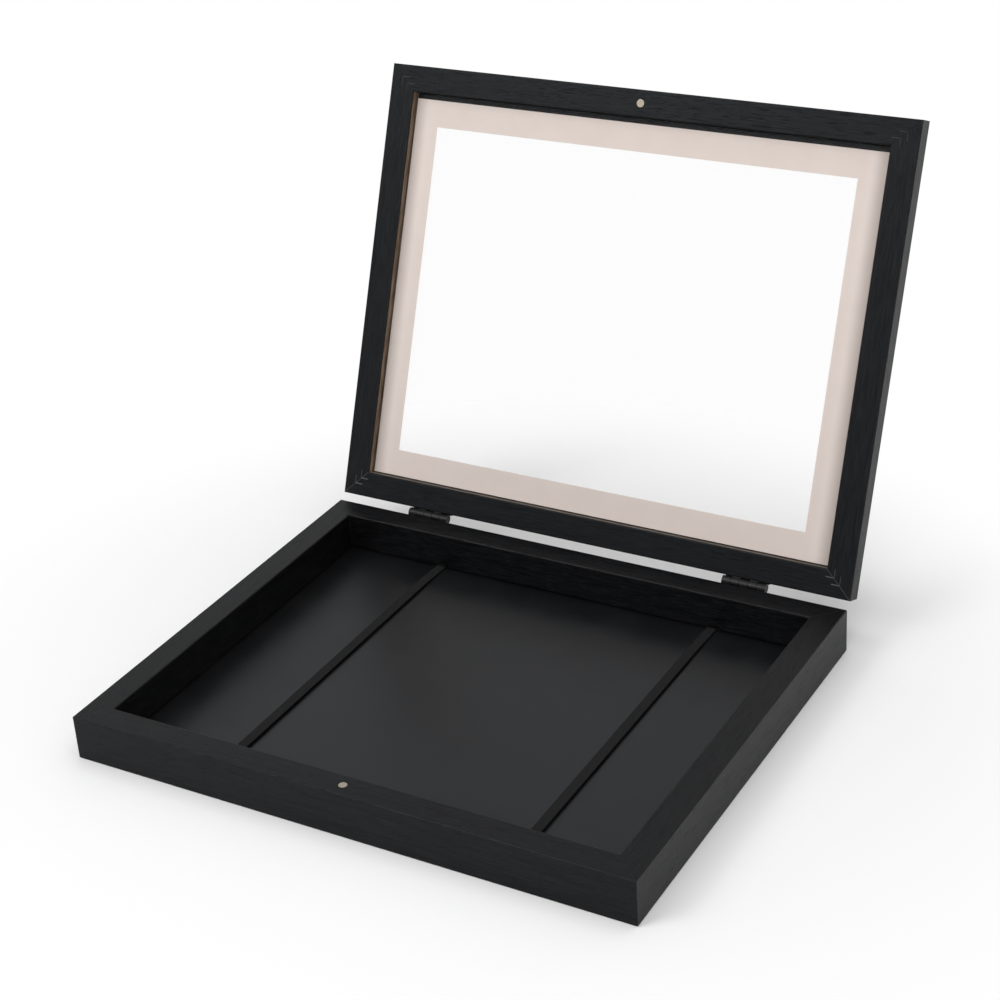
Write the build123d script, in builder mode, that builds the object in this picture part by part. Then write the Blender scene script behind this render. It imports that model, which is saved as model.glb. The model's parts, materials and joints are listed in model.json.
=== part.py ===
from build123d import *
import math
import os

os.makedirs("parts", exist_ok=True)

# Hinged shadow box, lying on its back with the lid standing open.
# All sizes are in millimetres. The origin is the middle of the underside,
# +X runs along the hinge, +Y points to the hinge side and +Z up.

# ---- driving dimensions: the tray -------------------------------------------------
BOX_W = 312.0  # outside width, along the hinge
BOX_D = 248.0  # outside depth, from the latch side to the hinge side
BASE_H = 25.0  # height of the tray
CAVITY_W = 282.0
CAVITY_D = 219.0
CAVITY_DEPTH = 21.0  # rim to floor
STRAP_GAP = 0.9  # slot between the floor and the rails, where the straps pass
RABBET_W = 6.0  # how far the rabbet for the back panel is cut into the rails
PANEL_T = 2.5
PANEL_EASE = 0.3  # bevel along its edges
PANEL_PLAY = 1.0  # clearance between the panel's edge and the rabbet
EASE = 0.7  # rounding of the wood's long edges

# ---- driving dimensions: the lid --------------------------------------------------
LID_T = 11.3
LID_LIP_T = 4.0  # thickness of the lip that holds the glazing
LID_LIP_W = 6.0  # how far the lip reaches inwards
GLAZING_T = 1.5
MAT_T = 1.5
MAT_W = 279.6
MAT_D = 214.8
MAT_PLAY = 0.8  # from the mat to the hinge rail
WINDOW_W = 250.0
WINDOW_D = 185.0
PARTING_GAP = 0.3  # between rim and lid when closed
OPEN_ANGLE = 111.7  # how far the lid stands open

# ---- driving dimensions: hinges, magnets and small hardware -----------------------
HINGE_X = 97.5  # each hinge's distance from the middle
HINGE_L = 25.0
LEAF_T = 1.0
LEAF_REACH = 9.6  # from the pin's axis to the leaf's free edge
KNUCKLE_R = 2.5
KNUCKLE_COUNT = 5
KNUCKLE_PLAY = 0.2
PIN_R = 1.45
PIN_PLAY = 0.05  # running clearance of the moving leaf
PIN_SETBACK = 2.8  # from the back of the box to the pin's axis
SCREW_X = 7.0  # half the distance between a leaf's two screws
SCREW_DROP = 6.2  # from the pin's axis to the screws
SCREW_R = 0.85
SCREW_L = 8.0  # from under the head to the tip
SCREW_HEAD_R = 1.7
SCREW_HEAD_T = 0.6
MAGNET_R = 2.5
MAGNET_T = 2.0
V_NAIL_LEG = 5.0
V_NAIL_T = 0.5
V_NAIL_DEPTH = 7.0
STRAP_X = 83.5  # half the distance between the two straps
STRAP_SHIFT = 2.3  # how far the pair sits to the right of the middle
STRAP_W = 5.6
STRAP_T = 0.8

# ---- sizes that follow from them --------------------------------------------------
SIDE_RAIL_W = (BOX_W - CAVITY_W) / 2
END_RAIL_W = (BOX_D - CAVITY_D) / 2
FLOOR_Z = BASE_H - CAVITY_DEPTH
SHOULDER_Z = FLOOR_Z + STRAP_GAP
PANEL_Z = FLOOR_Z - PANEL_T
PANEL_W = CAVITY_W + 2 * RABBET_W - 2 * PANEL_PLAY
PANEL_D = CAVITY_D + 2 * RABBET_W - 2 * PANEL_PLAY
LID_RABBET_D = LID_T - LID_LIP_T
MAT_DEPTH = LID_RABBET_D - GLAZING_T - MAT_T
MAT_Y = -CAVITY_D / 2 + MAT_PLAY + MAT_D / 2
MAGNET_Y = BOX_D / 2 - END_RAIL_W / 2
KNUCKLE_L = HINGE_L / KNUCKLE_COUNT

# ---- planes and places ------------------------------------------------------------
# The pin's axis runs along X, just behind the box, at the height of the parting line.
hinge_line = Vector(0, BOX_D / 2 + PIN_SETBACK, BASE_H + PARTING_GAP / 2)
lid_turn = Location((0, hinge_line.Y, hinge_line.Z), (-OPEN_ANGLE, 0, 0))


def on_lid(x, along, depth):
    """Where a point of the lid is: along from its middle to the latch side, depth from its inner face."""
    closed = Vector(x, -along, BASE_H + PARTING_GAP + depth) - hinge_line
    return (lid_turn * Pos(closed)).position


# Three planes of the open lid. lid_face looks out of its inner face, with local y towards the latch
# side. lid_across cuts the latch and hinge rails (local x along the lid, local y against its depth),
# and lid_side cuts the left and right rails (local y with the lid's depth).
lid_up = on_lid(0, 1, 0) - on_lid(0, 0, 0)
lid_out = on_lid(0, 0, 0) - on_lid(0, 0, 1)
lid_face = Plane(on_lid(0, 0, 0), x_dir=(1, 0, 0), z_dir=lid_out)
lid_across = Plane(on_lid(-BOX_W / 2, 0, 0), x_dir=lid_up, z_dir=(1, 0, 0))
lid_side = Plane(on_lid(0, -BOX_D / 2, 0), x_dir=(1, 0, 0), z_dir=lid_up)


def mitre(face, side, end):
    """Plane of a corner joint, through the outer and the inner corner, facing the end rail."""
    corner = face.from_local_coords((side * BOX_W / 2, end * BOX_D / 2, 0))
    facing = face.from_local_coords((-side * END_RAIL_W, end * SIDE_RAIL_W, 0)) - face.origin
    return Plane(corner, z_dir=facing)


def corner_places(inset):
    """The four corners, each the same distance in from both outer faces and turned to face inwards."""
    x = BOX_W / 2 - inset
    y = BOX_D / 2 - inset
    corners = ((-x, -y), (x, -y), (x, y), (-x, y))
    return [Location((cx, cy, 0), (0, 0, 90 * turn)) for turn, (cx, cy) in enumerate(corners)]


# ---- magnets: two plain discs that meet when the lid is shut ----------------------
with BuildPart() as base_magnet:
    with BuildSketch(Plane.XY.offset(BASE_H)):
        with Locations((0, -MAGNET_Y)):
            Circle(MAGNET_R)
    extrude(amount=-MAGNET_T)
base_magnet.part.label = "base_magnet"
export_step(base_magnet.part, "parts/base_magnet.step")

with BuildPart() as lid_magnet:
    with BuildSketch(lid_face):
        with Locations((0, MAGNET_Y)):
            Circle(MAGNET_R)
    extrude(amount=-MAGNET_T)
lid_magnet.part.label = "lid_magnet"
export_step(lid_magnet.part, "parts/lid_magnet.step")

# ---- corner nails: bent steel strips pressed across the mitres, two to a corner ---
V_NAIL_OUTLINE = (
    (0, 0),
    (V_NAIL_LEG, 0),
    (V_NAIL_LEG, V_NAIL_T),
    (V_NAIL_T, V_NAIL_T),
    (V_NAIL_T, V_NAIL_LEG),
    (0, V_NAIL_LEG),
)
LID_NAIL_INSETS = (6.6, 10.1)
BASE_NAIL_INSETS = (2.4, 5.6)

with BuildPart() as lid_corner_nails:
    with BuildSketch(lid_face):
        for inset in LID_NAIL_INSETS:
            with Locations(*corner_places(inset)):
                Polygon(*V_NAIL_OUTLINE, align=None)
    extrude(amount=-V_NAIL_DEPTH)
lid_corner_nails.part.label = "lid_corner_nails"
export_step(lid_corner_nails.part, "parts/lid_corner_nails.step")

with BuildPart() as base_corner_nails:
    with BuildSketch(Plane.XY):
        for inset in BASE_NAIL_INSETS:
            with Locations(*corner_places(inset)):
                Polygon(*V_NAIL_OUTLINE, align=None)
    extrude(amount=V_NAIL_DEPTH)
base_corner_nails.part.label = "base_corner_nails"
export_step(base_corner_nails.part, "parts/base_corner_nails.step")

# ---- hinge screws: low round heads on the leaf, with a cross recess ---------------
CROSS_L = 2.0
CROSS_W = 0.5
CROSS_DEPTH = 0.4

with BuildPart() as screw_shank:
    with BuildSketch(Plane.XY):
        Circle(SCREW_R)
    extrude(amount=-SCREW_L)

with BuildPart() as screw:
    add(screw_shank.part)
    with BuildSketch(Plane.XY):
        Circle(SCREW_HEAD_R)
    extrude(amount=SCREW_HEAD_T)
    with BuildSketch(Plane.XY.offset(SCREW_HEAD_T)):
        Rectangle(CROSS_L, CROSS_W)
        Rectangle(CROSS_W, CROSS_L)
    extrude(amount=-CROSS_DEPTH, mode=Mode.SUBTRACT)


def screw_places(leaf_face):
    """Where the screws sit on both leaves that lie on this plane, local x along the hinge."""
    spots = [(side * HINGE_X + offset, 0) for side in (-1, 1) for offset in (-SCREW_X, SCREW_X)]
    return [leaf_face.location * Location((x, y, 0)) for x, y in spots]


# Outer faces of the leaves: the tray's looks straight back, the lid's lies against the lid's back.
base_leaf_face = Plane(
    (0, BOX_D / 2 + LEAF_T, hinge_line.Z - SCREW_DROP),
    x_dir=(-1, 0, 0),
    z_dir=(0, 1, 0),
)
lid_leaf_face = Plane(
    on_lid(0, -BOX_D / 2 - LEAF_T, SCREW_DROP - PARTING_GAP / 2),
    x_dir=(1, 0, 0),
    z_dir=-lid_up,
)

with BuildPart() as base_screw_holes:
    with Locations(*screw_places(base_leaf_face)):
        add(screw_shank.part)

with BuildPart() as lid_screw_holes:
    with Locations(*screw_places(lid_leaf_face)):
        add(screw_shank.part)

with BuildPart() as hinge_screws_base:
    with Locations(*screw_places(base_leaf_face)):
        add(screw.part)
hinge_screws_base.part.label = "hinge_screws_base"
export_step(hinge_screws_base.part, "parts/hinge_screws_base.step")

with BuildPart() as hinge_screws_lid:
    with Locations(*screw_places(lid_leaf_face)):
        add(screw.part)
hinge_screws_lid.part.label = "hinge_screws_lid"
export_step(hinge_screws_lid.part, "parts/hinge_screws_lid.step")

# ---- hinges: knuckles rolled round a pin that is tight in the fixed leaf ----------
LEAF_CORNER_R = 1.5
TINY = 0.001  # tolerance for telling edges apart
KNUCKLE_SWEEP = KNUCKLE_R + 0.2  # radius that the other leaf's knuckles need to turn in
# Section planes through the pin: local x points behind the box, local y away from the leaf's screws.
base_section = Plane(hinge_line, x_dir=(0, 1, 0), z_dir=(1, 0, 0))
lid_pin_end = on_lid(0, -BOX_D / 2 - PIN_SETBACK, -PARTING_GAP / 2)
lid_section = Plane(lid_pin_end, x_dir=-lid_up, z_dir=(-1, 0, 0))


def knuckle_spans(fixed):
    """Start and end, from the hinge's middle, of the knuckles that belong to one leaf."""
    spans = []
    for place in range(KNUCKLE_COUNT):
        if (place % 2 == 0) == fixed:
            start = -HINGE_L / 2 + place * KNUCKLE_L
            spans.append((start, start + KNUCKLE_L))
    return spans


def leaf_outline():
    """Flat part of a leaf's section: a strip against the wood, joined to the rolled knuckle."""
    wood = -PIN_SETBACK
    return ((wood, -LEAF_REACH), (wood + LEAF_T, -LEAF_REACH), (wood + LEAF_T, 0), (wood, 0))


def make_leaf(section, fixed, middle, bore_r, screw_holes):
    """One hinge leaf: a strip with knuckles rolled round the pin, notched for the other leaf's."""
    start = section.offset(middle * section.z_dir.X - HINGE_L / 2)
    with BuildPart() as leaf:
        with BuildSketch(start):
            Polygon(*leaf_outline(), align=None)
            Circle(KNUCKLE_R)
            Circle(bore_r, mode=Mode.SUBTRACT)
        extrude(amount=HINGE_L)
        short_edges = leaf.edges().filter_by(lambda edge: abs(edge.length - LEAF_T) < TINY)
        free_corners = short_edges.filter_by(
            lambda edge: abs(section.to_local_coords(edge.center()).Y + LEAF_REACH) < TINY
        )
        fillet(free_corners, radius=LEAF_CORNER_R)
        for low, high in knuckle_spans(not fixed):
            near = low if low == -HINGE_L / 2 else low - KNUCKLE_PLAY / 2
            far = high if high == HINGE_L / 2 else high + KNUCKLE_PLAY / 2
            with BuildSketch(start.offset(near + HINGE_L / 2)):
                Rectangle(2 * PIN_SETBACK + LEAF_T, 2 * KNUCKLE_SWEEP)
            extrude(amount=far - near, mode=Mode.SUBTRACT)
        add(screw_holes.part, mode=Mode.SUBTRACT)
    return leaf


for side_name, side in (("left", -1), ("right", 1)):
    base_leaf = make_leaf(base_section, True, side * HINGE_X, PIN_R, base_screw_holes)
    base_leaf.part.label = f"{side_name}_hinge_base_leaf"
    export_step(base_leaf.part, f"parts/{side_name}_hinge_base_leaf.step")

    lid_leaf = make_leaf(lid_section, False, side * HINGE_X, PIN_R + PIN_PLAY, lid_screw_holes)
    lid_leaf.part.label = f"{side_name}_hinge_lid_leaf"
    export_step(lid_leaf.part, f"parts/{side_name}_hinge_lid_leaf.step")

    with BuildPart() as pin:
        with BuildSketch(base_section.offset(side * HINGE_X - HINGE_L / 2)):
            Circle(PIN_R)
        extrude(amount=HINGE_L)
    pin.part.label = f"{side_name}_hinge_pin"
    export_step(pin.part, f"parts/{side_name}_hinge_pin.step")

# ---- panel points: flat steel points pressed into the rabbet, behind the panel ----
POINT_L = 12.0
POINT_W = 6.0
POINT_T = 0.4
POINT_BITE = 5.0  # how far a point goes into the wood
LONG_SIDE_POINTS = (-120.0, 0.0, 120.0)
SHORT_SIDE_POINTS = (-55.0, 55.0)
point_x = CAVITY_W / 2 + RABBET_W + POINT_BITE - POINT_L / 2
point_y = CAVITY_D / 2 + RABBET_W + POINT_BITE - POINT_L / 2
point_places = [Location((x, y, 0), (0, 0, 90)) for x in LONG_SIDE_POINTS for y in (-point_y, point_y)]
point_places += [Location((x, y, 0)) for x in (-point_x, point_x) for y in SHORT_SIDE_POINTS]
POINT_SHOULDER = POINT_L / 2 - 2.0
POINT_OUTLINE = (
    (-POINT_L / 2, 0),
    (-POINT_SHOULDER, -POINT_W / 2),
    (POINT_SHOULDER, -POINT_W / 2),
    (POINT_L / 2, 0),
    (POINT_SHOULDER, POINT_W / 2),
    (-POINT_SHOULDER, POINT_W / 2),
)

with BuildPart() as panel_points:
    with BuildSketch(Plane.XY.offset(PANEL_Z)):
        with Locations(*point_places):
            Polygon(*POINT_OUTLINE, align=None)
    extrude(amount=-POINT_T)
panel_points.part.label = "panel_points"
export_step(panel_points.part, "parts/panel_points.step")

# ---- tray rails: mitred, with a rabbet below the shoulder for the back panel ------


def tray_rail_outline(outer, inner):
    """Corners of a tray rail's section, from its outer face to its inner face."""
    rabbet = inner + math.copysign(RABBET_W, outer - inner)
    return (
        (outer, 0),
        (outer, BASE_H),
        (inner, BASE_H),
        (inner, SHOULDER_Z),
        (rabbet, SHOULDER_Z),
        (rabbet, 0),
    )


base_hardware = (base_magnet, base_corner_nails, base_screw_holes, panel_points)

for rail_name, end in (("base_front_rail", -1), ("base_back_rail", 1)):
    with BuildPart() as rail:
        with BuildSketch(Plane.YZ.offset(-BOX_W / 2)):
            Polygon(*tray_rail_outline(end * BOX_D / 2, end * CAVITY_D / 2), align=None)
            rounded = vertices().group_by(Axis.Y)[0] + vertices().group_by(Axis.Y)[-1]
            fillet(rounded, radius=EASE)
        extrude(amount=BOX_W)
        for side in (-1, 1):
            split(bisect_by=mitre(Plane.XY, side, end), keep=Keep.TOP)
        for piece in base_hardware:
            add(piece.part, mode=Mode.SUBTRACT)
    rail.part.label = rail_name
    export_step(rail.part, f"parts/{rail_name}.step")

for rail_name, side in (("base_left_rail", -1), ("base_right_rail", 1)):
    with BuildPart() as rail:
        with BuildSketch(Plane.XZ.offset(-BOX_D / 2)):
            Polygon(*tray_rail_outline(side * BOX_W / 2, side * CAVITY_W / 2), align=None)
            rounded = vertices().group_by(Axis.Y)[0] + vertices().group_by(Axis.Y)[-1]
            fillet(rounded, radius=EASE)
        extrude(amount=BOX_D)
        for end in (-1, 1):
            split(bisect_by=mitre(Plane.XY, side, end), keep=Keep.BOTTOM)
        for piece in base_hardware:
            add(piece.part, mode=Mode.SUBTRACT)
    rail.part.label = rail_name
    export_step(rail.part, f"parts/{rail_name}.step")

# ---- elastic straps: laid over the floor, round the panel, and stapled behind it --
STRAP_TUCK = 14.0  # length of each end that is turned in behind the panel
STRAP_RISE = 0.9  # how far the strap lifts off the floor between the walls
STRAP_RAMP = 22.0
strap_edge_y = PANEL_D / 2 + STRAP_T / 2
strap_under_z = PANEL_Z - STRAP_T / 2
strap_floor_z = FLOOR_Z + STRAP_T / 2

for strap_name, side in (("strap_left", -1), ("strap_right", 1)):
    with BuildPart() as strap:
        with BuildSketch(Plane.YZ.offset(side * STRAP_X + STRAP_SHIFT - STRAP_W / 2)):
            with BuildLine():
                half = [
                    (PANEL_D / 2 - STRAP_TUCK, strap_under_z),
                    (strap_edge_y, strap_under_z),
                    (strap_edge_y, strap_floor_z),
                    (CAVITY_D / 2 - 1, strap_floor_z),
                    (CAVITY_D / 2 - STRAP_RAMP, strap_floor_z + STRAP_RISE),
                ]
                other_half = [(-y, z) for y, z in reversed(half)]
                Polyline(*half, *other_half)
            trace(line_width=STRAP_T)
        extrude(amount=STRAP_W)
    strap.part.label = strap_name
    export_step(strap.part, f"parts/{strap_name}.step")

# ---- staples: one over each turned-in strap end -----------------------------------
STAPLE_W = 7.6
STAPLE_T = 0.5
STAPLE_LEG = 2.0  # how far a leg goes into the panel
staple_y = PANEL_D / 2 - STRAP_TUCK / 2
staple_z = PANEL_Z - STRAP_T

with BuildPart() as strap_staples:
    for x in (STRAP_SHIFT - STRAP_X, STRAP_SHIFT + STRAP_X):
        for y in (-staple_y, staple_y):
            with BuildSketch(Plane.XZ.offset(-y - STAPLE_T / 2)):
                with Locations((x, staple_z - STAPLE_T)):
                    Rectangle(STAPLE_W, STAPLE_T, align=(Align.CENTER, Align.MIN))
                leg_x = (STAPLE_W - STAPLE_T) / 2
                with Locations((x - leg_x, staple_z - STAPLE_T), (x + leg_x, staple_z - STAPLE_T)):
                    leg_height = STAPLE_T + STRAP_T + STAPLE_LEG
                    Rectangle(STAPLE_T, leg_height, align=(Align.CENTER, Align.MIN))
            extrude(amount=STAPLE_T)
strap_staples.part.label = "strap_staples"
export_step(strap_staples.part, "parts/strap_staples.step")

# ---- sawtooth hangers: one for each way round, with prongs pressed into the panel -
HANGER_L = 46.0
HANGER_W = 8.0
HANGER_T = 0.6
HANGER_LIFT = 0.7  # how far the toothed middle stands off the panel
HANGER_END = 9.0
HANGER_RAMP = 2.0
HANGER_INSET = 14.0  # from the cavity's edge to the middle of the hanger
TOOTH_PITCH = 2.0
TOOTH_COUNT = 10
TOOTH_DEPTH = 1.2
PRONG_W = 2.2
PRONG_L = 2.0
PRONG_SPACING = 4.6
# Local x runs along each hanger, local y the way its teeth face, and the panel's back is at 0.
hanger_faces = {
    "hanger_landscape": Plane((0, HANGER_INSET - CAVITY_D / 2, PANEL_Z), x_dir=(1, 0, 0), z_dir=(0, 0, 1)),
    "hanger_portrait": Plane((HANGER_INSET - CAVITY_W / 2, 0, PANEL_Z), x_dir=(0, -1, 0), z_dir=(0, 0, 1)),
}
hanger_prongs = []

for hanger_name, face in hanger_faces.items():
    end_x = HANGER_L / 2
    with BuildPart() as prongs:
        for side in (-1, 1):
            outside = Plane(
                face.from_local_coords((side * end_x, 0, 0)),
                x_dir=face.y_dir,
                z_dir=face.x_dir,
            )
            with BuildSketch(outside):
                with Locations((-PRONG_SPACING / 2, 0), (PRONG_SPACING / 2, 0)):
                    Polygon((-PRONG_W / 2, 0), (PRONG_W / 2, 0), (0, PRONG_L), align=None)
            extrude(amount=-side * HANGER_T)
    hanger_prongs.append(prongs)

    section = Plane(face.from_local_coords((0, -HANGER_W / 2, 0)), x_dir=face.x_dir, z_dir=-face.y_dir)
    with BuildPart() as hanger:
        with BuildSketch(section):
            with BuildLine():
                middle_z = -HANGER_T / 2
                bend_x = end_x - HANGER_END
                raised = (bend_x - HANGER_RAMP, middle_z - HANGER_LIFT)
                right = [raised, (bend_x, middle_z), (end_x, middle_z)]
                left = [(-x, z) for x, z in reversed(right)]
                Polyline(*left, *right)
            trace(line_width=HANGER_T)
        extrude(amount=-HANGER_W)
        with BuildSketch(face):
            row = (TOOTH_COUNT - 1) * TOOTH_PITCH / 2
            with Locations(*[(n * TOOTH_PITCH - row, HANGER_W / 2) for n in range(TOOTH_COUNT)]):
                Polygon((-TOOTH_PITCH / 2, 0), (0, -TOOTH_DEPTH), (TOOTH_PITCH / 2, 0), align=None)
        extrude(amount=-2 * HANGER_T - HANGER_LIFT, mode=Mode.SUBTRACT)
        add(prongs.part)
    hanger.part.label = hanger_name
    export_step(hanger.part, f"parts/{hanger_name}.step")

# ---- back panel: lies in the rabbet, against the points ---------------------------
with BuildPart() as back_panel:
    with BuildSketch(Plane.XY.offset(PANEL_Z)):
        Rectangle(PANEL_W, PANEL_D)
    extrude(amount=PANEL_T)
    chamfer(back_panel.edges(), length=PANEL_EASE)
    add(strap_staples.part, mode=Mode.SUBTRACT)
    for prongs in hanger_prongs:
        add(prongs.part, mode=Mode.SUBTRACT)
back_panel.part.label = "back_panel"
export_step(back_panel.part, "parts/back_panel.step")

# ---- lid rails: mitred, with a rabbet for glazing and mat, and a lip in front -----


def lid_rail_outline(outer, inner, depth_way):
    """Corners of a lid rail's section; depth_way is the plane's y for a point deeper in the lid."""
    lip = inner + math.copysign(LID_LIP_W, inner - outer)
    corners = (
        (outer, 0),
        (inner, 0),
        (inner, LID_RABBET_D),
        (lip, LID_RABBET_D),
        (lip, LID_T),
        (outer, LID_T),
    )
    return [(across, depth_way * depth) for across, depth in corners]


lid_hardware = (lid_magnet, lid_corner_nails, lid_screw_holes)

for rail_name, end in (("lid_front_rail", 1), ("lid_back_rail", -1)):
    with BuildPart() as rail:
        with BuildSketch(lid_across):
            Polygon(*lid_rail_outline(end * BOX_D / 2, end * CAVITY_D / 2, -1), align=None)
            rounded = vertices().group_by(Axis.Y)[0] + vertices().group_by(Axis.Y)[-1]
            fillet(rounded, radius=EASE)
        extrude(amount=BOX_W)
        for side in (-1, 1):
            split(bisect_by=mitre(lid_face, side, end), keep=Keep.TOP)
        for piece in lid_hardware:
            add(piece.part, mode=Mode.SUBTRACT)
    rail.part.label = rail_name
    export_step(rail.part, f"parts/{rail_name}.step")

for rail_name, side in (("lid_left_rail", -1), ("lid_right_rail", 1)):
    with BuildPart() as rail:
        with BuildSketch(lid_side):
            Polygon(*lid_rail_outline(side * BOX_W / 2, side * CAVITY_W / 2, 1), align=None)
            rounded = vertices().group_by(Axis.Y)[0] + vertices().group_by(Axis.Y)[-1]
            fillet(rounded, radius=EASE)
        extrude(amount=BOX_D)
        for end in (-1, 1):
            split(bisect_by=mitre(lid_face, side, end), keep=Keep.BOTTOM)
        for piece in lid_hardware:
            add(piece.part, mode=Mode.SUBTRACT)
    rail.part.label = rail_name
    export_step(rail.part, f"parts/{rail_name}.step")

# ---- glazing: a clear pane against the lip ----------------------------------------
GLAZING_PLAY = 0.5

with BuildPart() as glazing_pane:
    with BuildSketch(lid_face.offset(-LID_RABBET_D)):
        Rectangle(CAVITY_W - 2 * GLAZING_PLAY, CAVITY_D - 2 * GLAZING_PLAY)
    extrude(amount=GLAZING_T)
glazing_pane.part.label = "glazing_pane"
export_step(glazing_pane.part, "parts/glazing_pane.step")

# ---- mat board: its window is cut on a bevel that faces the glazing ---------------
with BuildPart() as mat_board:
    with BuildSketch(lid_face.offset(-MAT_DEPTH)):
        with Locations((0, MAT_Y)):
            Rectangle(MAT_W, MAT_D)
    extrude(amount=-MAT_T)
    with BuildSketch(lid_face.offset(-MAT_DEPTH)):
        with Locations((0, MAT_Y)):
            Rectangle(WINDOW_W, WINDOW_D)
    with BuildSketch(lid_face.offset(-MAT_DEPTH - MAT_T)):
        with Locations((0, MAT_Y)):
            Rectangle(WINDOW_W + 2 * MAT_T, WINDOW_D + 2 * MAT_T)
    loft(mode=Mode.SUBTRACT)
mat_board.part.label = "mat_board"
export_step(mat_board.part, "parts/mat_board.step")
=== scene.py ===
import json
import logging
import math
from dataclasses import dataclass
from enum import Enum
from typing import Any, Iterator, Optional, Sequence

import bmesh
import bpy
from mathutils import Matrix, Vector


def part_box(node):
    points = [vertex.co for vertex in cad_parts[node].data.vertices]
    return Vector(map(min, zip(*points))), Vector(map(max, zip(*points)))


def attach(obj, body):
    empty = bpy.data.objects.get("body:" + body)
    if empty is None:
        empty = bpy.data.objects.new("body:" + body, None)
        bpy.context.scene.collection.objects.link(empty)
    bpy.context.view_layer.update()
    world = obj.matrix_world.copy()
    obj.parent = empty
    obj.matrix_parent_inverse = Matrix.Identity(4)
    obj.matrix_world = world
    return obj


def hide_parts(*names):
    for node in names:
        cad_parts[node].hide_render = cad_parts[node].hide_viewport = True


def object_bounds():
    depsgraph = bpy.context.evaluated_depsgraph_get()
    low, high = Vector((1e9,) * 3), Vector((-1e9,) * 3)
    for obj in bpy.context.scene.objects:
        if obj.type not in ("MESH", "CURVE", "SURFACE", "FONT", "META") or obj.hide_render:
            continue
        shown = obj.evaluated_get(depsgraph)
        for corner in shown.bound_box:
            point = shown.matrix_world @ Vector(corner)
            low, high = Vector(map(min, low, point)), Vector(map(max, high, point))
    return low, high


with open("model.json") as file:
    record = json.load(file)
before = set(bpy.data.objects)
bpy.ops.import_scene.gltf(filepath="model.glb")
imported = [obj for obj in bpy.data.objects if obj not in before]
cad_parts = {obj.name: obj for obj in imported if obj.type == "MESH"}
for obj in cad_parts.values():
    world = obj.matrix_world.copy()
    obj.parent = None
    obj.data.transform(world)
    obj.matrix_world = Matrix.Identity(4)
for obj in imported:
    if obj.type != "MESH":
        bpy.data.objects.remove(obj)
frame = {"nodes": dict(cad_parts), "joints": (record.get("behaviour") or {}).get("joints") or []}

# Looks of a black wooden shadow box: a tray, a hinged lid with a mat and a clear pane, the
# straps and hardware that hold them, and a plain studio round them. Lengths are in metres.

MM = 0.001
MERGED = 0.001 * MM  # vertices closer than this are one
SMOOTH_BEND = math.radians(32)  # the sharpest bend that is shaded smooth
FLAT_BEND = math.radians(0.4)  # faces that bend less than this are one face
ROUNDED_BEND = math.radians(40)  # edges that bend more than this are rounded
CAD_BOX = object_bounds()
CORNER_SLANT = CAD_BOX[0][0] - CAD_BOX[0][1]  # depth less width, from the middle to a corner

Color = tuple[float, float, float, float]
Material = bpy.types.Material
Piece = bpy.types.Object
Socket = bpy.types.NodeSocket
log = logging.getLogger("shadow_box")


class Body(Enum):
    """The two rigid bodies of the box."""

    TRAY = "tray"
    LID = "lid"


class Slot(Enum):
    """The record's material slots."""

    WOOD = "black_wood"
    PANEL = "black_panel"
    ELASTIC = "elastic"
    NICKEL = "magnet_nickel"
    STEEL = "bright_steel"
    HINGE = "black_hinge"
    PANE = "clear_acrylic"
    MAT = "mat_card"


def rgb(red: float, green: float, blue: float) -> Color:
    """An opaque colour."""
    return (red, green, blue, 1.0)


# ---- node trees ---------------------------------------------------------------------------


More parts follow.
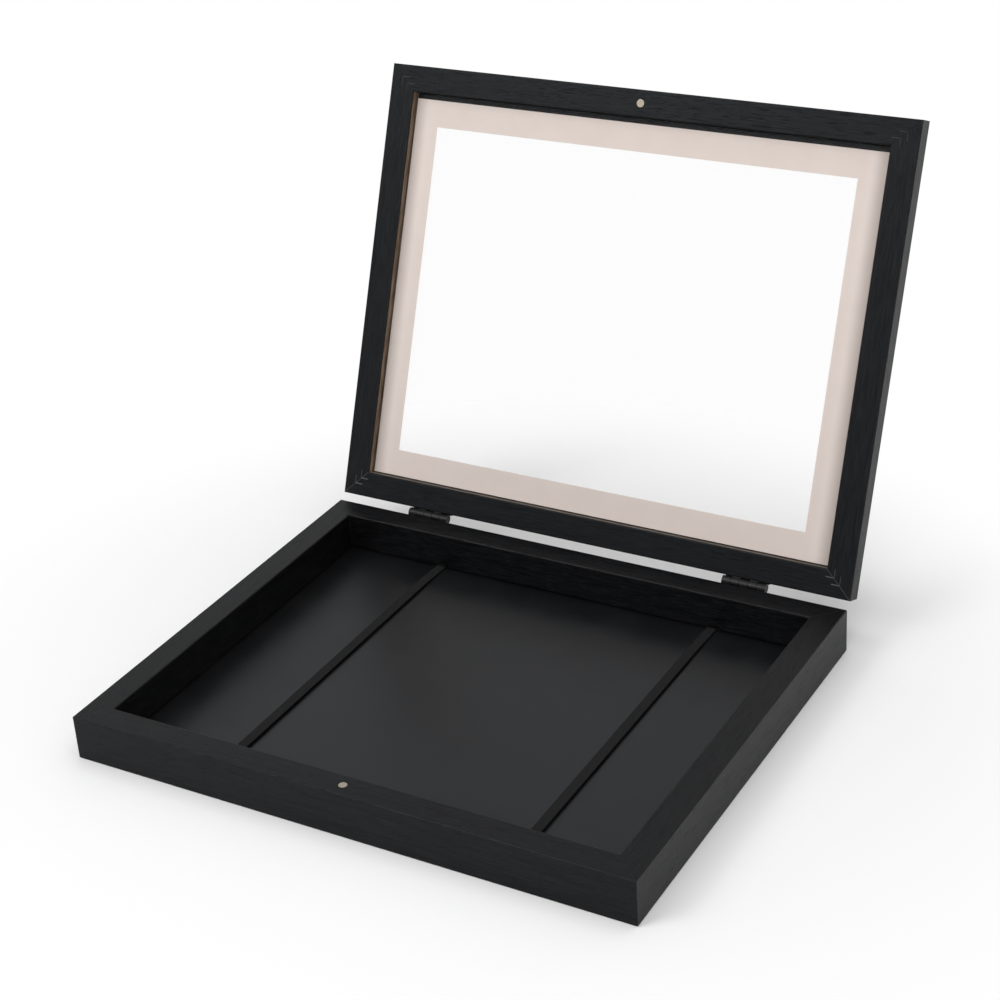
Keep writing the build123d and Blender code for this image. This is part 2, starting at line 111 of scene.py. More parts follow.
class Graph:
    """Adds nodes to one tree and joins their sockets."""

    def __init__(self, tree: bpy.types.NodeTree) -> None:
        """Takes the shader or geometry node tree to work in."""
        self.tree = tree

    def add(self, kind: str, inputs: Optional[dict[Any, Any]] = None, **settings: Any) -> bpy.types.Node:
        """Adds one node.

        Args:
            kind: the node's type name.
            inputs: for each input's name or number, a value or the socket that feeds it.
            **settings: the node's own properties.

        Returns:
            The new node.
        """
        node = self.tree.nodes.new(kind)
        for name, value in settings.items():
            setattr(node, name, value)
        for key, value in (inputs or {}).items():
            self.feed(node, key, value)
        return node

    def feed(self, node: bpy.types.Node, key: Any, value: Any) -> None:
        """Sets an input to a value, or links a socket to it.

        Args:
            node: the node with the input.
            key: the input's name or number.
            value: a plain value or an output socket.
        """
        if isinstance(value, Socket):
            self.tree.links.new(value, node.inputs[key])
        else:
            node.inputs[key].default_value = value

    def feed_named(self, node: bpy.types.Node, values: dict[str, Any]) -> None:
        """Feeds the inputs whose names are given with underscores for spaces."""
        for name, value in values.items():
            self.feed(node, name.replace("_", " "), value)

    def first(self, kind: str, inputs: Optional[dict[Any, Any]] = None, **settings: Any) -> Socket:
        """First output of a node that is added as add does."""
        return self.add(kind, inputs, **settings).outputs[0]

    def math(self, operation: str, *values: Any) -> Socket:
        """Result of a Math node on some values."""
        return self.first("ShaderNodeMath", dict(enumerate(values)), operation=operation)

    def times(self, value: Any, *factors: Any) -> Socket:
        """A value multiplied by each factor in turn."""
        for factor in factors:
            value = self.math("MULTIPLY", value, factor)
        return value

    def plus(self, first: Any, second: Any) -> Socket:
        """Sum of two values."""
        return self.math("ADD", first, second)

    def minus(self, first: Any, second: Any) -> Socket:
        """The first value less the second."""
        return self.math("SUBTRACT", first, second)

    def most(self, first: Any, second: Any) -> Socket:
        """The greater of two values."""
        return self.math("MAXIMUM", first, second)

    def unsigned(self, value: Any) -> Socket:
        """A value without its sign."""
        return self.math("ABSOLUTE", value)

    def vector(self, operation: str, *values: Any) -> Socket:
        """Result of a Vector Math node that gives a vector."""
        return self.first("ShaderNodeVectorMath", dict(enumerate(values)), operation=operation)

    def join(self, x: Any = 0.0, y: Any = 0.0, z: Any = 0.0) -> Socket:
        """The vector with these three parts."""
        return self.first("ShaderNodeCombineXYZ", {0: x, 1: y, 2: z})

    def split(self, vector: Socket) -> Any:
        """The three parts of a vector."""
        return self.add("ShaderNodeSeparateXYZ", {0: vector}).outputs

    def ramp(self, value: Any, low: Any, high: Any, start: Any = 0.0, end: Any = 1.0) -> Socket:
        """A smooth step of a value from one range to another.

        Args:
            value: what is read.
            low: where the step starts.
            high: where it ends.
            start: the result below the step.
            end: the result above it.

        Returns:
            The output socket.
        """
        inputs = {0: value, 1: low, 2: high, 3: start, 4: end}
        return self.first("ShaderNodeMapRange", inputs, interpolation_type="SMOOTHSTEP")

    def noise(self, vector: Any, scale: Any, detail: float, roughness: float) -> Socket:
        """Value of a Noise texture.

        Args:
            vector: where it is read.
            scale: its scale.
            detail: its octaves.
            roughness: how strong the fine octaves are.

        Returns:
            The output socket.
        """
        inputs = {"Vector": vector, "Scale": scale, "Detail": detail, "Roughness": roughness}
        return self.add("ShaderNodeTexNoise", inputs).outputs["Fac"]

    def tint(self, factor: Any, first: Any, second: Any) -> Socket:
        """A colour between two others.

        Args:
            factor: share of the second colour.
            first: the first colour.
            second: the second colour.

        Returns:
            The output socket.
        """
        return self.add("ShaderNodeMix", {0: factor, 6: first, 7: second}, data_type="RGBA").outputs[2]


def open_group(name: str, kind: str, inputs: dict[str, Any], outputs: dict[str, Any]) -> tuple[Graph, Any, Any]:
    """Starts a node group with named sockets.

    Args:
        name: the group's name.
        kind: the tree's type.
        inputs: each input's default number, or its type's name where it has none.
        outputs: the same for each output.

    Returns:
        The graph, the sockets that come in and the node that takes the results.
    """
    tree = bpy.data.node_groups.new(name, kind)
    for ports, way in ((inputs, "INPUT"), (outputs, "OUTPUT")):
        for port, value in ports.items():
            sort = value if isinstance(value, str) else {int: "Int", float: "Float"}[type(value)]
            item = tree.interface.new_socket(port, in_out=way, socket_type="NodeSocket" + sort)
            if not isinstance(value, str):
                item.default_value = value
    graph = Graph(tree)
    return graph, graph.add("NodeGroupInput").outputs, graph.add("NodeGroupOutput")


# ---- shader effects shared by the finishes ------------------------------------------------


def open_effect(name: str, inputs: dict[str, Any], *outputs: str) -> tuple[Graph, Any, Any]:
    """Starts a shader effect that is read at a vector and gives plain values.

    Args:
        name: the effect's name.
        inputs: its inputs after the vector.
        *outputs: the names of what it gives.

    Returns:
        The graph, the sockets that come in and the node that takes the results.
    """
    return open_group(name, "ShaderNodeTree", {"Vector": "Vector", **inputs}, dict.fromkeys(outputs, "Float"))


def make_grain_effect() -> bpy.types.NodeTree:
    """Open wood grain along local x: streaks, pores and broad figure.

    Returns:
        The node group.
    """
    sizes = {"Pore Spacing": 0.8 * MM, "Pore Length": 16.0, "Wander": 1.2 * MM, "Openness": 0.5}
    graph, given, result = open_effect("open_grain", sizes, "Figure", "Streaks", "Pores", "Height")
    slow_along, pits_along = 0.25, 0.06
    slow = graph.vector("MULTIPLY", given["Vector"], graph.join(slow_along, 1.0, 1.0))
    sway = graph.add("ShaderNodeTexNoise", {"Vector": slow, "Scale": 38.0, "Detail": 1.5}).outputs["Color"]
    drift = graph.vector("SUBTRACT", sway, (0.5, 0.5, 0.5))
    shift = graph.first("ShaderNodeVectorMath", {0: drift, "Scale": given["Wander"]}, operation="SCALE")
    bent = graph.vector("ADD", given["Vector"], shift)
    squeeze = graph.math("DIVIDE", 1.0, given["Pore Length"])
    grain = graph.vector("MULTIPLY", bent, graph.join(squeeze, 1.0, 1.0))
    fine = graph.math("DIVIDE", 1.0, given["Pore Spacing"])
    streaks = graph.noise(grain, fine, 3.0, 0.62)
    pitted = graph.vector("MULTIPLY", bent, graph.join(pits_along, 1.0, 1.0))
    pits = graph.noise(pitted, graph.times(fine, 1.15), 2.0, 0.55)
    edge = graph.minus(0.78, graph.times(given["Openness"], 0.3))
    pores = graph.ramp(pits, edge, graph.plus(edge, 0.09))
    figure = graph.noise(grain, graph.times(fine, 0.14), 2.0, 0.5)
    graph.feed(result, "Figure", graph.ramp(figure, 0.32, 0.68))
    graph.feed(result, "Streaks", graph.ramp(streaks, 0.36, 0.66))
    graph.feed(result, "Pores", pores)
    graph.feed(result, "Height", graph.minus(graph.times(streaks, 0.45), graph.times(pores, 0.6)))
    return graph.tree


def make_edge_effect() -> bpy.types.NodeTree:
    """Where a box-shaped piece has its edges, broken up by noise.

    Returns:
        The node group.
    """
    inputs = {"Low Corner": "Vector", "High Corner": "Vector", "Width": 0.8 * MM, "Patchiness": 0.5}
    graph, given, result = open_effect("worn_edges", inputs, "Mask")
    from_low = graph.vector("SUBTRACT", given["Vector"], given["Low Corner"])
    from_high = graph.vector("SUBTRACT", given["High Corner"], given["Vector"])
    nearest = graph.split(graph.vector("MINIMUM", from_low, from_high))
    lesser = graph.math("MINIMUM", nearest[0], nearest[1])
    greater = graph.most(nearest[0], nearest[1])
    second = graph.most(lesser, graph.math("MINIMUM", greater, nearest[2]))
    rim = graph.ramp(second, 0.0, given["Width"], 1.0, 0.0)
    patches = graph.ramp(graph.noise(given["Vector"], 260.0, 3.0, 0.6), 0.4, 0.62)
    kept = graph.minus(1.0, graph.times(given["Patchiness"], patches))
    graph.feed(result, "Mask", graph.times(rim, kept))
    return graph.tree


def make_speckle_effect() -> bpy.types.NodeTree:
    """Fine dust and unevenness that breaks up a plain surface.

    Returns:
        The node group.
    """
    inputs = {"Size": 0.5 * MM, "Amount": 0.5}
    graph, given, result = open_effect("fine_speckle", inputs, "Specks", "Clouds", "Height")
    scale = graph.math("DIVIDE", 1.0, given["Size"])
    specks = graph.noise(given["Vector"], scale, 2.0, 0.6)
    clouds = graph.noise(given["Vector"], graph.times(scale, 0.018), 3.0, 0.5)
    graph.feed(result, "Specks", graph.times(graph.ramp(specks, 0.55, 0.75), given["Amount"]))
    graph.feed(result, "Clouds", graph.ramp(clouds, 0.35, 0.65))
    graph.feed(result, "Height", specks)
    return graph.tree


def make_joint_effect() -> bpy.types.NodeTree:
    """A hairline where a rail meets its neighbours at the mitres.

    Returns:
        The node group.
    """
    inputs = {"Half Length": 0.156, "Slope": 1.0, "Width": 0.3 * MM}
    graph, given, result = open_effect("mitre_hairline", inputs, "Mask")
    place = graph.split(given["Vector"])
    end = graph.minus(given["Half Length"], graph.times(given["Slope"], place[1]))
    gap = graph.unsigned(graph.minus(end, graph.unsigned(place[0])))
    graph.feed(result, "Mask", graph.ramp(gap, 0.0, given["Width"], 1.0, 0.0))
    return graph.tree


class Effects:
    """The shader groups, each made once."""

    def __init__(self) -> None:
        """Makes every group."""
        self.grain = make_grain_effect()
        self.edges = make_edge_effect()
        self.speckle = make_speckle_effect()
        self.joint = make_joint_effect()


EFFECTS = Effects()


# ---- finishes -----------------------------------------------------------------------------


class Shade(Graph):
    """A material being made: its tree, its shader and the coordinates it reads."""

    def __init__(self, name: str) -> None:
        """Makes the material with the given name."""
        self.material = bpy.data.materials.new(name)
        self.material.use_nodes = True
        super().__init__(self.material.node_tree)
        self.shader = self.tree.nodes["Principled BSDF"]

    def place(self, to_local: Optional[Matrix] = None) -> Socket:
        """Coordinates to read a pattern at.

        Args:
            to_local: takes the object's coordinates to the piece's own axes.

        Returns:
            The vector socket.
        """
        object_place = self.add("ShaderNodeTexCoord").outputs["Object"]
        if to_local is None:
            return object_place
        moved = {"Vector": object_place, "Location": to_local.translation, "Rotation": to_local.to_euler("XYZ")}
        return self.first("ShaderNodeMapping", moved, vector_type="POINT")

    def effect(self, tree: bpy.types.NodeTree, **values: Any) -> Any:
        """Places a shared effect.

        Args:
            tree: the effect's group.
            **values: its inputs, with underscores for spaces.

        Returns:
            The group node's outputs.
        """
        node = self.add("ShaderNodeGroup", node_tree=tree)
        self.feed_named(node, values)
        return node.outputs

    def speckle(self, size: float, amount: float, place: Optional[Socket] = None) -> Any:
        """Outputs of the speckle effect, read at the piece's own coordinates unless told."""
        place = self.place() if place is None else place
        return self.effect(EFFECTS.speckle, Vector=place, Size=size, Amount=amount)

    def set(self, **values: Any) -> None:
        """Sets or links the shader's sockets, with underscores for the spaces in their names."""
        self.feed_named(self.shader, values)

    def bump(self, height: Any, distance: float, strength: float) -> None:
        """Gives the shader a bumpy normal.

        Args:
            height: the height pattern, from 0 to 1.
            distance: the depth that 1 stands for.
            strength: how much of it shows.
        """
        inputs = {"Height": height, "Distance": distance, "Strength": strength}
        self.set(Normal=self.first("ShaderNodeBump", inputs))


# The black finishes shine a little bluer than the light that falls on them.
COOL_SHEEN = rgb(0.885, 0.93, 1.0)


@dataclass(frozen=True)
class Finish:
    """What a surface is made of.

    Args:
        name: the material's name.
    """

    name: str

    def make(self) -> Material:
        """The finish as a material."""
        shade = Shade(self.name)
        self.paint(shade)
        return shade.material

    def paint(self, shade: Shade) -> None:
        """Sets the shader up, as each finish does in its own way."""
        raise NotImplementedError


@dataclass(frozen=True)
class RailAxes:
    """A rail's own axes: x along the grain, y in from the outer face, z from the flat face.

    Args:
        to_local: takes the row frame to the rail's axes.
        length: the rail's outer length.
        width: its width, from the outer to the inner face, without its lip or rabbet.
        height: its size along z.
        slope: how much shorter it gets, at each end, for each unit of width.
    """

    to_local: Matrix
    length: float
    width: float
    height: float
    slope: float


@dataclass(frozen=True)
class BareWood:
    """A strip of a rail's inner face that the stain didn't reach.

    Args:
        low: its lowest place along the box's height.
        high: its highest.
        amount: how bare it is.
        dark: the wood's darker tone.
        pale: the paler one.
    """

    low: float
    high: float
    amount: float
    dark: Color
    pale: Color


@dataclass(frozen=True)
class BlackWood(Finish):
    """Open-grained wood, stained black, with edges paled by wear and a painted highlight, and bare wood inside
    the rabbet.

    Args:
        axes: the rail's axes.
        to_flat: takes the row frame to axes in which the box is shut.
        under: the wood that the stain left bare.
        joint_shows: how much pale wood shows in the mitres.
        seed: moves the grain, so that no two rails are alike.
        hinge_half: how far towards the hinges the mitres have turned fully pale.
        ragged: how far the stain's edge wanders.
    """

    axes: RailAxes
    to_flat: Matrix
    under: BareWood
    joint_shows: float
    seed: float
    hinge_half: float = 50 * MM
    ragged: float = 0.9 * MM

    def paint(self, shade: Shade) -> None:
        """Sets the shader up."""
        local = shade.place(self.axes.to_local)
        moved = shade.vector("ADD", local, (self.seed * 0.37, self.seed * 0.11, self.seed * 0.05))
        grain = shade.effect(EFFECTS.grain, Vector=moved, Pore_Spacing=0.62 * MM, Pore_Length=24.0, Openness=0.6)
        half = self.axes.length / 2
        low, high = (-half - 1, 0.0, 0.0), (half + 1, self.axes.width, self.axes.height)
        wear_and_sheen = shade.effect(EFFECTS.edges, Vector=local, Low_Corner=low, High_Corner=high, Width=1.0 * MM)[0]
        joint = shade.effect(EFFECTS.joint, Vector=local, Half_Length=half, Slope=self.axes.slope)[0]
        speckle = shade.speckle(0.35 * MM, 0.6, moved)
        stain = shade.tint(grain["Streaks"], rgb(0.0004, 0.0005, 0.0007), rgb(0.0066, 0.0068, 0.0075))
        stain = shade.tint(shade.times(grain["Figure"], 0.35), stain, rgb(0.0065, 0.0066, 0.007))
        stain = shade.tint(shade.times(grain["Pores"], 0.4), stain, rgb(0.0008, 0.0008, 0.001))
        # Edge wear and painted highlight: the edges turn paler, partly standing for light caught on them.
        stain = shade.tint(shade.times(wear_and_sheen, 0.14), stain, rgb(0.065, 0.060, 0.054))
        inner, bare = self.bare_masks(shade, local, speckle["Height"])
        joint_shown = self.joint_glimpse(shade, joint, inner, speckle["Clouds"])
        stain = shade.tint(joint_shown, stain, rgb(0.17, 0.16, 0.14))
        under = shade.tint(grain["Streaks"], self.under.dark, self.under.pale)
        satin = shade.ramp(grain["Pores"], 0.0, 1.0, 0.34, 0.5)
        shade.set(
            Base_Color=shade.tint(shade.times(inner, bare), stain, under),
            Roughness=shade.plus(satin, shade.times(grain["Streaks"], 0.08)),
            Specular_IOR_Level=0.145,
            Specular_Tint=COOL_SHEEN,
        )
        shade.bump(shade.minus(grain["Height"], shade.times(joint, 0.5)), 0.2 * MM, 0.9)

    def joint_glimpse(self, shade: Shade, joint: Socket, inner: Socket, patches: Socket) -> Socket:
        """Where pale wood shows in the mitres: at the hinge side, in patches, and inside.

        Args:
            shade: the material being made.
            joint: mask of the mitres.
            inner: mask of the rail's inner face.
            patches: broad noise.

        Returns:
            The mask.
        """
        side = shade.split(shade.place(self.to_flat))[1]
        shown = shade.times(shade.ramp(side, 0.0, self.hinge_half), self.joint_shows)
        shown = shade.most(shown, shade.times(inner, 0.3))
        return shade.times(joint, shown, shade.ramp(patches, 0.2, 0.8, 0.45, 1.0))

    def bare_masks(self, shade: Shade, local: Socket, noise: Socket) -> tuple[Socket, Socket]:
        """Where the stain stops on the rail's inner face.

        Args:
            shade: the material being made.
            local: coordinates in the rail's axes.
            noise: fine noise for the uneven edge.

        Returns:
            The mask of the inner face, and the mask of the depths left bare.
        """
        place = shade.split(local)
        wall = self.axes.width
        before = shade.ramp(place[1], wall - 0.12 * MM, wall - 0.05 * MM)
        inner = shade.times(before, shade.ramp(place[1], wall + 0.1 * MM, wall + 0.2 * MM, 1.0, 0.0))
        depth = shade.plus(place[2], shade.times(noise, self.ragged))
        deep = shade.ramp(depth, self.under.low, self.under.low + 0.5 * MM)
        shallow = shade.ramp(depth, self.under.high, self.under.high + 0.3 * MM, 1.0, 0.0)
        return inner, shade.times(deep, shallow, self.under.amount)


@dataclass(frozen=True)
class CoatedPanel(Finish):
    """Smooth fibreboard with a satin black coat."""

    name: str = "coated_panel"

    def paint(self, shade: Shade) -> None:
        """Sets the shader up."""
        speckle = shade.speckle(0.45 * MM, 0.5)
        coat = shade.tint(speckle["Clouds"], rgb(0.0034, 0.0036, 0.004), rgb(0.0046, 0.0048, 0.0052))
        shade.set(
            Base_Color=shade.tint(speckle["Specks"], coat, rgb(0.010, 0.010, 0.010)),
            Roughness=shade.ramp(speckle["Clouds"], 0.0, 1.0, 0.33, 0.37),
            Specular_IOR_Level=0.32,
            Specular_Tint=COOL_SHEEN,
        )
        shade.bump(speckle["Height"], 0.02 * MM, 0.5)


@dataclass(frozen=True)
class WovenElastic(Finish):
    """Black elastic tape: covered rubber cores along it, fine picks across it.

    Args:
        pick: distance between two picks along the tape.
        cores: rubber cores side by side.
    """

    name: str = "woven_elastic"
    pick: float = 0.55 * MM
    cores: float = 8.0

    def paint(self, shade: Shade) -> None:
        """Sets the shader up."""
        place = shade.split(shade.add("ShaderNodeAttribute", attribute_name="tape").outputs["Vector"])
        turns = shade.times(place[0], 2 * math.pi / self.pick)
        offset = shade.times(shade.math("FLOOR", shade.times(place[1], self.cores)), math.pi)
        picks = shade.unsigned(shade.math("SINE", shade.plus(turns, offset)))
        speckle = shade.speckle(0.25 * MM, 0.7)
        yarn = shade.tint(picks, rgb(0.0035, 0.0036, 0.0038), rgb(0.0105, 0.0108, 0.0108))
        shade.set(
            Base_Color=shade.tint(speckle["Specks"], yarn, rgb(0.022, 0.022, 0.022)),
            Roughness=shade.ramp(picks, 0.0, 1.0, 0.9, 0.72),
            Specular_IOR_Level=0.1,
            Sheen_Weight=0.03,
            Sheen_Roughness=0.4,
        )
        shade.bump(shade.plus(picks, shade.times(speckle["Height"], 0.5)), 0.07 * MM, 0.9)


@dataclass(frozen=True)
class Card(Finish):
    """Mat board, seen on its face or where it is cut.

    Args:
        shadow: the darker of its two tones.
        light: the paler one.
        to_local: the board's axes, x across the window.
        half_width: half the board's width.
        painted_edge_shade: painted shade towards the board's side edges, where the rails shade it.
        edge_shade_reach: how far in from them it goes.
        lit_band_from: where, out from the middle, a painted highlight band starts and is full.
        lit_band_to: where it starts to fade and ends.
    """

    shadow: Color
    light: Color
    to_local: Matrix
    half_width: float
    painted_edge_shade: Color = rgb(0.19, 0.158, 0.142)
    edge_shade_reach: float = 9 * MM
    lit_band_from: tuple[float, float] = (0.126, 0.134)
    lit_band_to: tuple[float, float] = (0.131, 0.138)

    def paint(self, shade: Shade) -> None:
        """Sets the shader up."""
        local = shade.place(self.to_local)
        speckle = shade.speckle(0.3 * MM, 0.35, local)
        across = shade.unsigned(shade.split(local)[0])
        # Painted highlight: a paler band near the side rails, where light falls on the board.
        lit_band = shade.times(shade.ramp(across, *self.lit_band_from), shade.ramp(across, *self.lit_band_to, 1.0, 0.0))
        tone = shade.plus(shade.times(speckle["Clouds"], 0.12), shade.times(lit_band, 0.3))
        paper = shade.tint(tone, self.shadow, self.light)
        # Painted shade: the board darkens towards its side edges, where the rails shade it.
        edge = shade.ramp(shade.minus(self.half_width, across), 0.0, self.edge_shade_reach, 0.42, 0.0)
        paper = shade.tint(edge, paper, self.painted_edge_shade)
        shade.set(Base_Color=shade.tint(speckle["Specks"], paper, rgb(0.50, 0.44, 0.39)), Roughness=0.88)
        shade.bump(speckle["Height"], 0.04 * MM, 0.6)


@dataclass(frozen=True)
class ClearPane(Finish):
    """Polished acrylic that mostly lets the view through."""

    name: str = "clear_pane"

    def paint(self, shade: Shade) -> None:
        """Sets the shader up."""
        haze = shade.ramp(shade.speckle(0.8 * MM, 0.4)["Clouds"], 0.0, 1.0, 0.03, 0.07)
        shade.set(Base_Color=rgb(0.55, 0.57, 0.57), Roughness=haze, IOR=1.49, Specular_IOR_Level=1.0, Alpha=0.03)


@dataclass(frozen=True)
class Metal(Finish):
    """Bright metal: nickel plate or drawn steel.

    Args:
        color: its own colour.
        tarnish: the colour where it has dulled.
        roughness: how blurred its reflections are.
        brushed: how strongly drawing lines show.
    """

    color: Color
    tarnish: Color
    roughness: float
    brushed: float

    def paint(self, shade: Shade) -> None:
        """Sets the shader up."""
        local = shade.place()
        speckle = shade.speckle(0.2 * MM, 0.8, local)
        lines = shade.effect(EFFECTS.grain, Vector=local, Pore_Spacing=0.12 * MM, Pore_Length=30.0)
        dull = shade.plus(shade.times(speckle["Clouds"], 0.45), speckle["Specks"])
        shade.set(
            Base_Color=shade.tint(dull, self.color, self.tarnish),
            Roughness=shade.plus(shade.times(lines["Streaks"], 0.18 * self.brushed), self.roughness),
            Metallic=1.0,
        )
        shade.bump(lines["Streaks"], 0.01 * MM, self.brushed)


@dataclass(frozen=True)
class StainedSteel(Finish):
    """The corner nails: steel that the stain covers, least by the hinge; the arms along the end rails get a
    painted highlight.

    Args:
        to_flat: takes the row frame to axes in which the box is shut.
        hinge_half: how far towards the hinges they have turned fully bright.
    """

    to_flat: Matrix
    hinge_half: float = 50 * MM

    def paint(self, shade: Shade) -> None:
        """Sets the shader up."""
        local = shade.place(self.to_flat)
        speckle = shade.speckle(0.5 * MM, 0.4, local)
        place = shade.split(local)
        by_hinge = shade.ramp(place[1], 0.0, self.hinge_half, 0.12, 1.0)
        along = shade.minus(shade.unsigned(place[1]), shade.unsigned(place[0]))
        # Painted highlight: arms along the end rails are made brighter, as light falls on them.
        end_rail_highlight = shade.ramp(along, CORNER_SLANT - 0.1 * MM, CORNER_SLANT + 0.1 * MM, 0.3, 1.0)
        bright = shade.times(by_hinge, end_rail_highlight, shade.ramp(speckle["Clouds"], 0.1, 0.9, 0.7, 1.0))
        shade.set(
            Base_Color=shade.tint(bright, rgb(0.006, 0.006, 0.006), rgb(0.12, 0.117, 0.108)),
            Roughness=shade.ramp(speckle["Clouds"], 0.0, 1.0, 0.4, 0.55),
            Metallic=shade.times(bright, 0.4),
            Specular_IOR_Level=0.3,
        )
        shade.bump(speckle["Height"], 0.03 * MM, 0.5)


@dataclass(frozen=True)
class GapShadow(Finish):
    """Painted shadow of the gap round a disc, put on the disc's rim as a near-black finish."""

    name: str = "magnet_glue"

    def paint(self, shade: Shade) -> None:
        """Sets the shader up."""
        speckle = shade.speckle(0.2 * MM, 0.5)
        # Painted shadow: near-black tones stand for the shade in the gap round the disc.
        shade.set(
            Base_Color=shade.tint(speckle["Clouds"], rgb(0.002, 0.0014, 0.0012), rgb(0.012, 0.007, 0.0045)),
            Roughness=shade.ramp(speckle["Clouds"], 0.0, 1.0, 0.5, 0.7),
            Specular_IOR_Level=0.2,
        )
        shade.bump(speckle["Height"], 0.03 * MM, 0.6)


@dataclass(frozen=True)
class HingePaint(Finish):
    """Black paint on pressed steel, rubbed thin along the edges.

    Args:
        to_local: the leaf's axes.
        low: lowest corner of the leaf in them.
        high: highest corner.
    """

    to_local: Matrix
    low: Vector
    high: Vector

    def paint(self, shade: Shade) -> None:
        """Sets the shader up."""
        local = shade.place(self.to_local)
        speckle = shade.speckle(0.28 * MM, 0.5, local)
        corners = {"Low_Corner": self.low, "High_Corner": self.high}
        wear_and_sheen = shade.effect(EFFECTS.edges, Vector=local, Width=0.3 * MM, Patchiness=0.9, **corners)[0]
        paint = shade.tint(speckle["Clouds"], rgb(0.003, 0.003, 0.0034), rgb(0.006, 0.006, 0.0065))
        shade.set(
            Base_Color=shade.tint(wear_and_sheen, paint, rgb(0.10, 0.10, 0.10)),
            Roughness=shade.plus(0.34, shade.times(speckle["Specks"], 0.3)),
            Metallic=shade.times(wear_and_sheen, 0.8),
            Specular_IOR_Level=0.26,
        )
        shade.bump(speckle["Height"], 0.03 * MM, 0.6)


# ---- places -------------------------------------------------------------------------------


@dataclass(frozen=True)
class LidStand:
    """How the open lid stands, read from its hinge.

    Args:
        pivot: a point on the pin's axis.
        opened: the angle from shut, in radians.
    """

    pivot: Vector
    opened: float

    @classmethod
    def from_joint(cls, joint: dict[str, Any]) -> "LidStand":
        """Reads the stand from the record's hinge joint."""
        return cls(Vector(joint["pos_m"]), -math.radians(joint["range_deg"][0]) * joint["axis"][0])

    @property
    def to_shut(self) -> Matrix:
        """Takes a point of the open lid to where it is when the lid is shut."""
        turn = Matrix.Rotation(self.opened, 4, "X").inverted()
        return Matrix.Translation(self.pivot) @ turn @ Matrix.Translation(-self.pivot)


STAND = LidStand.from_joint(frame["joints"][0])
UNTURNED = Matrix.Identity(4)
TO_FLAT = {Body.TRAY: UNTURNED, Body.LID: STAND.to_shut}  # to axes in which the box is shut


def local_points(node: str, to_local: Matrix) -> list[Vector]:
    """A CAD node's points in other axes."""
    return [to_local @ vertex.co for vertex in frame["nodes"][node].data.vertices]


def local_box(node: str, to_local: Matrix) -> tuple[Vector, Vector]:
    """Lowest and highest corner of a CAD node in other axes."""
    points = local_points(node, to_local)
    return Vector(map(min, *points)), Vector(map(max, *points))


def rail_axes(node: str, to_flat: Matrix, width: float, slope: float) -> RailAxes:
    """Works out a rail's own axes.

    Args:
        node: the rail's node.
        to_flat: takes the row frame to axes in which the box is shut.
        width: the rail's width at the parting face.
        slope: the mitre's slope.

    Returns:
        The axes and the rail's sizes along them.
    """
    low, high = local_box(node, to_flat)
    middle, size = (low + high) / 2, high - low
    narrow = 1 if size.x > size.y else 0
    inwards = Vector((0, 0, 0))
    inwards[narrow] = -math.copysign(1, middle[narrow])
    outer = Vector((middle.x, middle.y, low.z))
    outer[narrow] -= inwards[narrow] * size[narrow] / 2
    along = inwards.cross(Vector((0, 0, 1)))
    turn = Matrix((along, inwards, (0, 0, 1))).to_4x4()
    to_local = turn @ Matrix.Translation(-outer) @ to_flat
    return RailAxes(to_local, max(size.x, size.y), width, size.z, slope)


def rim_width(node: str, body: Body) -> float:
    """Width of a rail where tray and lid meet, without its lip or rabbet.

    Args:
        node: the rail's node.
        body: the body it belongs to.

    Returns:
        The width.
    """
    low, high = local_box(node, TO_FLAT[body])
    meeting = high.z if body is Body.TRAY else low.z
    rim = [point for point in local_points(node, TO_FLAT[body]) if abs(point.z - meeting) < 1 * MM]
    return min(max(point[axis] for point in rim) - min(point[axis] for point in rim) for axis in (0, 1))


# ---- pieces -------------------------------------------------------------------------------


def link(name: str, mesh: bpy.types.Mesh) -> Piece:
    """Puts a mesh in the scene as an object at the origin.

    Args:
        name: the object's name.
        mesh: its mesh.

    Returns:
        The object.
    """
    piece = bpy.data.objects.new(name, mesh)
    bpy.context.scene.collection.objects.link(piece)
    return piece


def evaluated_mesh(piece: Piece) -> bpy.types.Mesh:
    """A piece's plain mesh, as its modifiers leave it."""
    depsgraph = bpy.context.evaluated_depsgraph_get()
    shown = piece.evaluated_get(depsgraph)
    return bpy.data.meshes.new_from_object(shown, preserve_all_data_layers=True, depsgraph=depsgraph)


def apply_modifiers(piece: Piece) -> None:
    """Turns a piece with modifiers into its plain result."""
    mesh = evaluated_mesh(piece)
    piece.modifiers.clear()
    piece.data = mesh


def shade_finely(piece: Piece) -> None:
    """Shades a piece smooth except across its sharp edges, and keeps its flats flat.

    Args:
        piece: the piece, with its doubles merged and no modifier.
    """
    work = bmesh.new()
    work.from_mesh(piece.data)
    for face in work.faces:
        face.smooth = True
    for edge in work.edges:
        edge.smooth = len(edge.link_faces) == 2 and edge.calc_face_angle(0.0) < SMOOTH_BEND
    work.to_mesh(piece.data)
    work.free()
    piece.modifiers.new("flats", "WEIGHTED_NORMAL").keep_sharp = True
    apply_modifiers(piece)


def dress(piece: Piece, *materials: Material) -> None:
    """Gives a piece its materials in place of any it has.

    Args:
        piece: the piece.
        *materials: one for each of its slots.
    """
    piece.data.materials.clear()
    for material in materials:
        piece.data.materials.append(material)


def settle(piece: Piece, body: Body, slot: Slot, node: str) -> Piece:
    """Makes a finished piece part of the box.

    Args:
        piece: the piece.
        body: the body it rides on.
        slot: the record's slot; not used.
        node: the CAD node it stands for.

    Returns:
        The piece.
    """
    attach(piece, body.value)
    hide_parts(node)
    return piece


